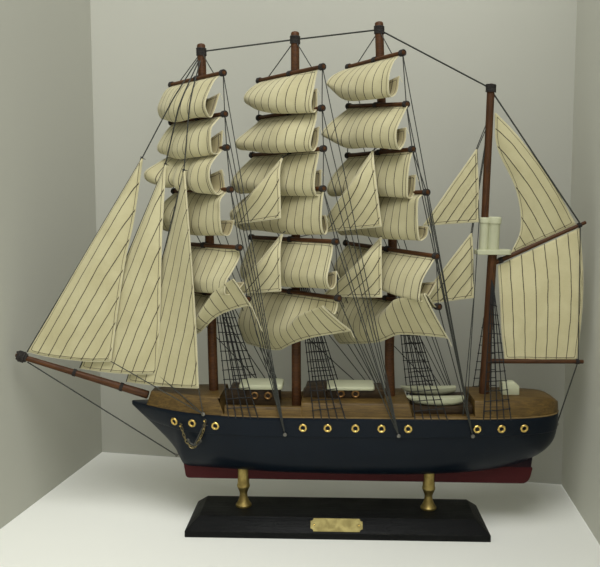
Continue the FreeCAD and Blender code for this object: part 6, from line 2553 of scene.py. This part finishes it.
# ---------------------------------------------------------------- anchors
@dataclass
class AnchorLoops:
    """Chain and anchor in a loop on each bow, hung from two pins."""
    hawse: Triple = (-137.78, -24.85, 98.19)
    cathead: Triple = (-115.52, -30.39, 104.48)
    link: Triple = (4.2, 2.5, 0.3)
    ring: Pair = (1.75, 0.3)
    sag: tuple[Pair, ...] = ((0.2, -14.5), (0.5, -22.5), (0.74, -17.0), (0.92, -10.0))
    steps: int = 60
    shank: tuple[float, ...] = (0.75, 0.62, 0.66, 0.72, 0.8, 0.88, 1.0)
    stock: tuple[Triple, ...] = ((-2.6, -2.0, 0.32), (0.0, -2.1, 0.42), (2.6, -2.0, 0.32))
    arm: tuple[Pair, ...] = ((0.0, -0.3), (2.4, 0.1), (4.4, 1.6), (5.8, 3.6), (6.4, 5.2))
    fluke: tuple[float, ...] = (1.05, 1.0, 0.95, 0.9, 0.85, 0.8, 0.8, 0.9, 1.25, 1.4, 1.1, 0.7, 0.2)

    def build(self, shop: Shop) -> None:
        """Builds both loops.

        Args:
            shop: Makers that the pieces share.
        """
        for side, body in ((Side.PORT, Body.PORT_LOOP), (Side.STARBOARD, Body.STARBOARD_LOOP)):
            name = side.name.lower()
            hawse, cathead = self.place(self.hawse, side), self.place(self.cathead, side)
            span = cathead - hawse
            stops = [hawse] + [hawse + span * part + UP * depth for part, depth in self.sag]
            stops.append(cathead + UP * -3.45)
            path = smooth_path(stops, self.steps)
            seed = seed_mesh(name, path, [(i, i + 1) for i in range(self.steps - 1)])
            pattern = self.make_link().pattern("link_pattern")
            shop.chains.grow(seed, name + "_chain_links", CHAIN_METAL, [name + "_chain"], body, 50.0,
                             Link=pattern, Pitch=(self.link[0] - 4 * self.link[2]) * MM,
                             Roll=-side.value * math.pi / 4)
            bpy.data.objects.remove(pattern)
            self.make_anchor(name, hawse, cathead, side, body)

    def place(self, point: Triple, side: Side) -> Vector:
        """Point of the port loop, or its mirror."""
        return Vector((point[0], point[1] * side.value, point[2]))

    def make_link(self) -> Shape:
        """One oval link of round wire, lying along X.

        Returns:
            The link.
        """
        length, width, wire = self.link
        reach = (length - width) / 2
        shape, rings = Shape(), []
        for step in range(16):
            angle = 2 * math.pi * step / 16
            middle = Vector(((width / 2 - wire) * math.cos(angle) + math.copysign(reach, math.cos(angle)),
                             (width / 2 - wire) * math.sin(angle), 0.0))
            outward = Vector((math.cos(angle), math.sin(angle), 0.0))
            rings.append([middle + outward * (wire * math.cos(a)) + UP * (wire * math.sin(a))
                          for a in (2 * math.pi * i / 6 for i in range(6))])
        shape.skin(rings + rings[:1], capped=False)
        return shape

    def make_anchor(self, name: str, hawse: Vector, cathead: Vector, side: Side, body: Body) -> None:
        """Ring, shank and two arms with pointed flukes.

        Args:
            name: Name of the piece.
            hawse: Where the loop leaves the hull.
            cathead: Where it hangs from the rail.
            side: Side of the ship.
            body: Body that it moves with.
        """
        span = cathead - hawse
        along = Vector((span.x, span.y, 0)).normalized()
        outward = along.cross(UP) * side.value
        centre = cathead + UP * -0.6
        shape, rings = Shape(), []
        radius, wire = self.ring
        for step in range(20):
            angle = 2 * math.pi * step / 20
            way = along * math.cos(angle) + UP * math.sin(angle)
            rings.append([centre + way * (radius + wire * math.cos(a)) + outward * (wire * math.sin(a))
                          for a in (2 * math.pi * i / 8 for i in range(8))])
        shape.skin(rings + rings[:1], capped=False)
        top = centre + UP * (-radius - 0.1)
        crown = hawse + span * 0.56 + UP * -20.0
        shape.tube([top + (crown - top) * (i / 6) for i in range(7)], self.shank, 12)
        shape.tube([top + along * out + UP * up for out, up, _ in self.stock], [row[2] for row in self.stock], 10)
        for way in (-1, 1):
            arm = smooth_path([crown + along * (way * out) + UP * up for out, up in self.arm], len(self.fluke))
            shape.tube(arm, self.fluke, 12)
        shape.piece(name + "_anchor_iron", [IRON], [name + "_anchor"], body, sharp=50.0)


# ---------------------------------------------------------------- studio
@dataclass(frozen=True)
class Backdrop(Finish):
    """Plain pale surface of the studio, seen from its front only."""
    colour: Triple = (214, 212, 206)

    def dress(self, wiring: Wiring, shader: Any) -> None:
        """Wires a plain matt colour.

        Args:
            wiring: Tree that the nodes are added to.
            shader: Surface shader that is dressed.
        """
        tone = wiring.noise(wiring.add("ShaderNodeTexCoord").outputs["Object"], 2.0, 2.0)
        wiring.feed(shader["Base Color"], wiring.mix(wiring.step(tone, 0.3, 0.7), pigment(*self.colour), pigment(
            *[channel - 4 for channel in self.colour])))
        shader["Roughness"].default_value = 0.9
        output = next(node for node in wiring.tree.nodes if node.bl_idname == "ShaderNodeOutputMaterial")
        clear = wiring.add("ShaderNodeBsdfTransparent")
        back = wiring.add("ShaderNodeNewGeometry").outputs["Backfacing"]
        surface = output.inputs["Surface"].links[0].from_socket
        both = wiring.add("ShaderNodeMixShader", {0: back, 1: surface, 2: clear.outputs[0]})
        wiring.feed(output.inputs["Surface"], both.outputs[0])


@dataclass
class Studio:
    """Pale floor and walls, soft light and the camera."""
    camera_place: Triple = (-0.0042, -0.7, 0.291)
    camera_turn: Triple = (90 - 5.62, 0.06, 2.37)
    lens: float = 47.2
    corner_left: Pair = (-0.277, 0.200)
    corner_right: Pair = (0.236, 0.110)
    near_left: Pair = (-0.372, -0.600)
    near_right: Pair = (0.1887, -0.600)
    wall_height: float = 0.75

    def build(self) -> None:
        """Builds the studio."""
        self.make_stage()
        self.make_light()
        self.make_camera()

    def plane(self, name: str, corners: Sequence[Triple], finish: Finish) -> None:
        """Adds one staged surface, its front towards the side that its corners run round against the clock.

        Args:
            name: Name of the surface.
            corners: Its corners.
            finish: Its finish.
        """
        mesh = bpy.data.meshes.new(name)
        mesh.from_pydata(corners, [], [tuple(range(len(corners)))])
        mesh.materials.append(finish.material())
        surface = bpy.data.objects.new(name, mesh)
        bpy.context.scene.collection.objects.link(surface)

    def make_stage(self) -> None:
        """Floor, back wall and the two side walls."""
        wall, side_wall = (Backdrop(name, "", (tone, tone, tone - 12)) for name, tone in
                           (("studio_wall", 183), ("studio_side_wall", 212)))
        floor = Backdrop("studio_floor", "", (244, 245, 236))
        top = self.wall_height
        self.plane("studio_floor", [(-1.6, -1.6, 0), (1.6, -1.6, 0), (1.6, 1.6, 0), (-1.6, 1.6, 0)], floor)
        for name, (x0, y0), (x1, y1), finish in (
                ("studio_back_wall", self.corner_left, self.corner_right, wall),
                ("studio_left_wall", self.near_left, self.corner_left, wall),
                ("studio_right_wall", self.corner_right, self.near_right, side_wall)):
            self.plane(name, [(x0, y0, 0.0005), (x1, y1, 0.0005), (x1, y1, top), (x0, y0, top)], finish)

    def lamp(self, name: str, place: Triple, target: Triple, size: float, energy: float) -> None:
        """Adds a square area lamp aimed at a point.

        Args:
            name: Name of the lamp.
            place: Where it stands.
            target: Where it aims.
            size: Side of the square.
            energy: Its power.
        """
        light = bpy.data.lights.new(name, "AREA")
        light.size, light.energy = size, energy
        lamp = bpy.data.objects.new(name, light)
        lamp.location = place
        lamp.rotation_euler = (Vector(place) - Vector(target)).to_track_quat("Z", "Y").to_euler()
        bpy.context.scene.collection.objects.link(lamp)

    def make_light(self) -> None:
        """Large soft lamps and an even world."""
        self.lamp("overhead_lamp", (0.03, -0.7, 1.3), (0.0, 0.0, 0.2), 0.8, 14.5)
        self.lamp("front_fill", (0.5, -1.3, 0.6), (0.0, 0.0, 0.22), 1.0, 4.5)
        world = bpy.data.worlds.new("studio_world")
        world.use_nodes = True
        backing = world.node_tree.nodes["Background"]
        backing.inputs["Color"].default_value = (0.78, 0.79, 0.78, 1.0)
        backing.inputs["Strength"].default_value = 0.3
        bpy.context.scene.world = world

    def make_camera(self) -> None:
        """Camera in front of the port side."""
        lens = bpy.data.cameras.new("studio_camera")
        lens.lens, lens.sensor_width = self.lens, 36.0
        lens.clip_start, lens.clip_end = 0.01, 20.0
        camera = bpy.data.objects.new("studio_camera", lens)
        camera.location = self.camera_place
        camera.rotation_euler = tuple(math.radians(angle) for angle in self.camera_turn)
        bpy.context.scene.collection.objects.link(camera)
        bpy.context.scene.camera = camera
        bpy.context.scene.view_settings.view_transform = "Standard"


def main() -> None:
    """Builds the ship on its stand and the studio."""
    logging.basicConfig(level=logging.INFO, format="%(message)s")
    shop = Shop()
    spars = Spars()
    maker = SailMaker(shop)
    Base().build(shop)
    HullAndKeel().build()
    Decks().build()
    DeckHouses().build()
    Boats().build()
    HullFittings().build(shop)
    spars.build(shop)
    squares = SquareSails(maker)
    squares.build()
    StayedSails(maker).build()
    Rigging(spars, squares.set_cloths).build(shop)
    AnchorLoops().build(shop)
    Studio().build()


if __name__ == "__main__":
    main()
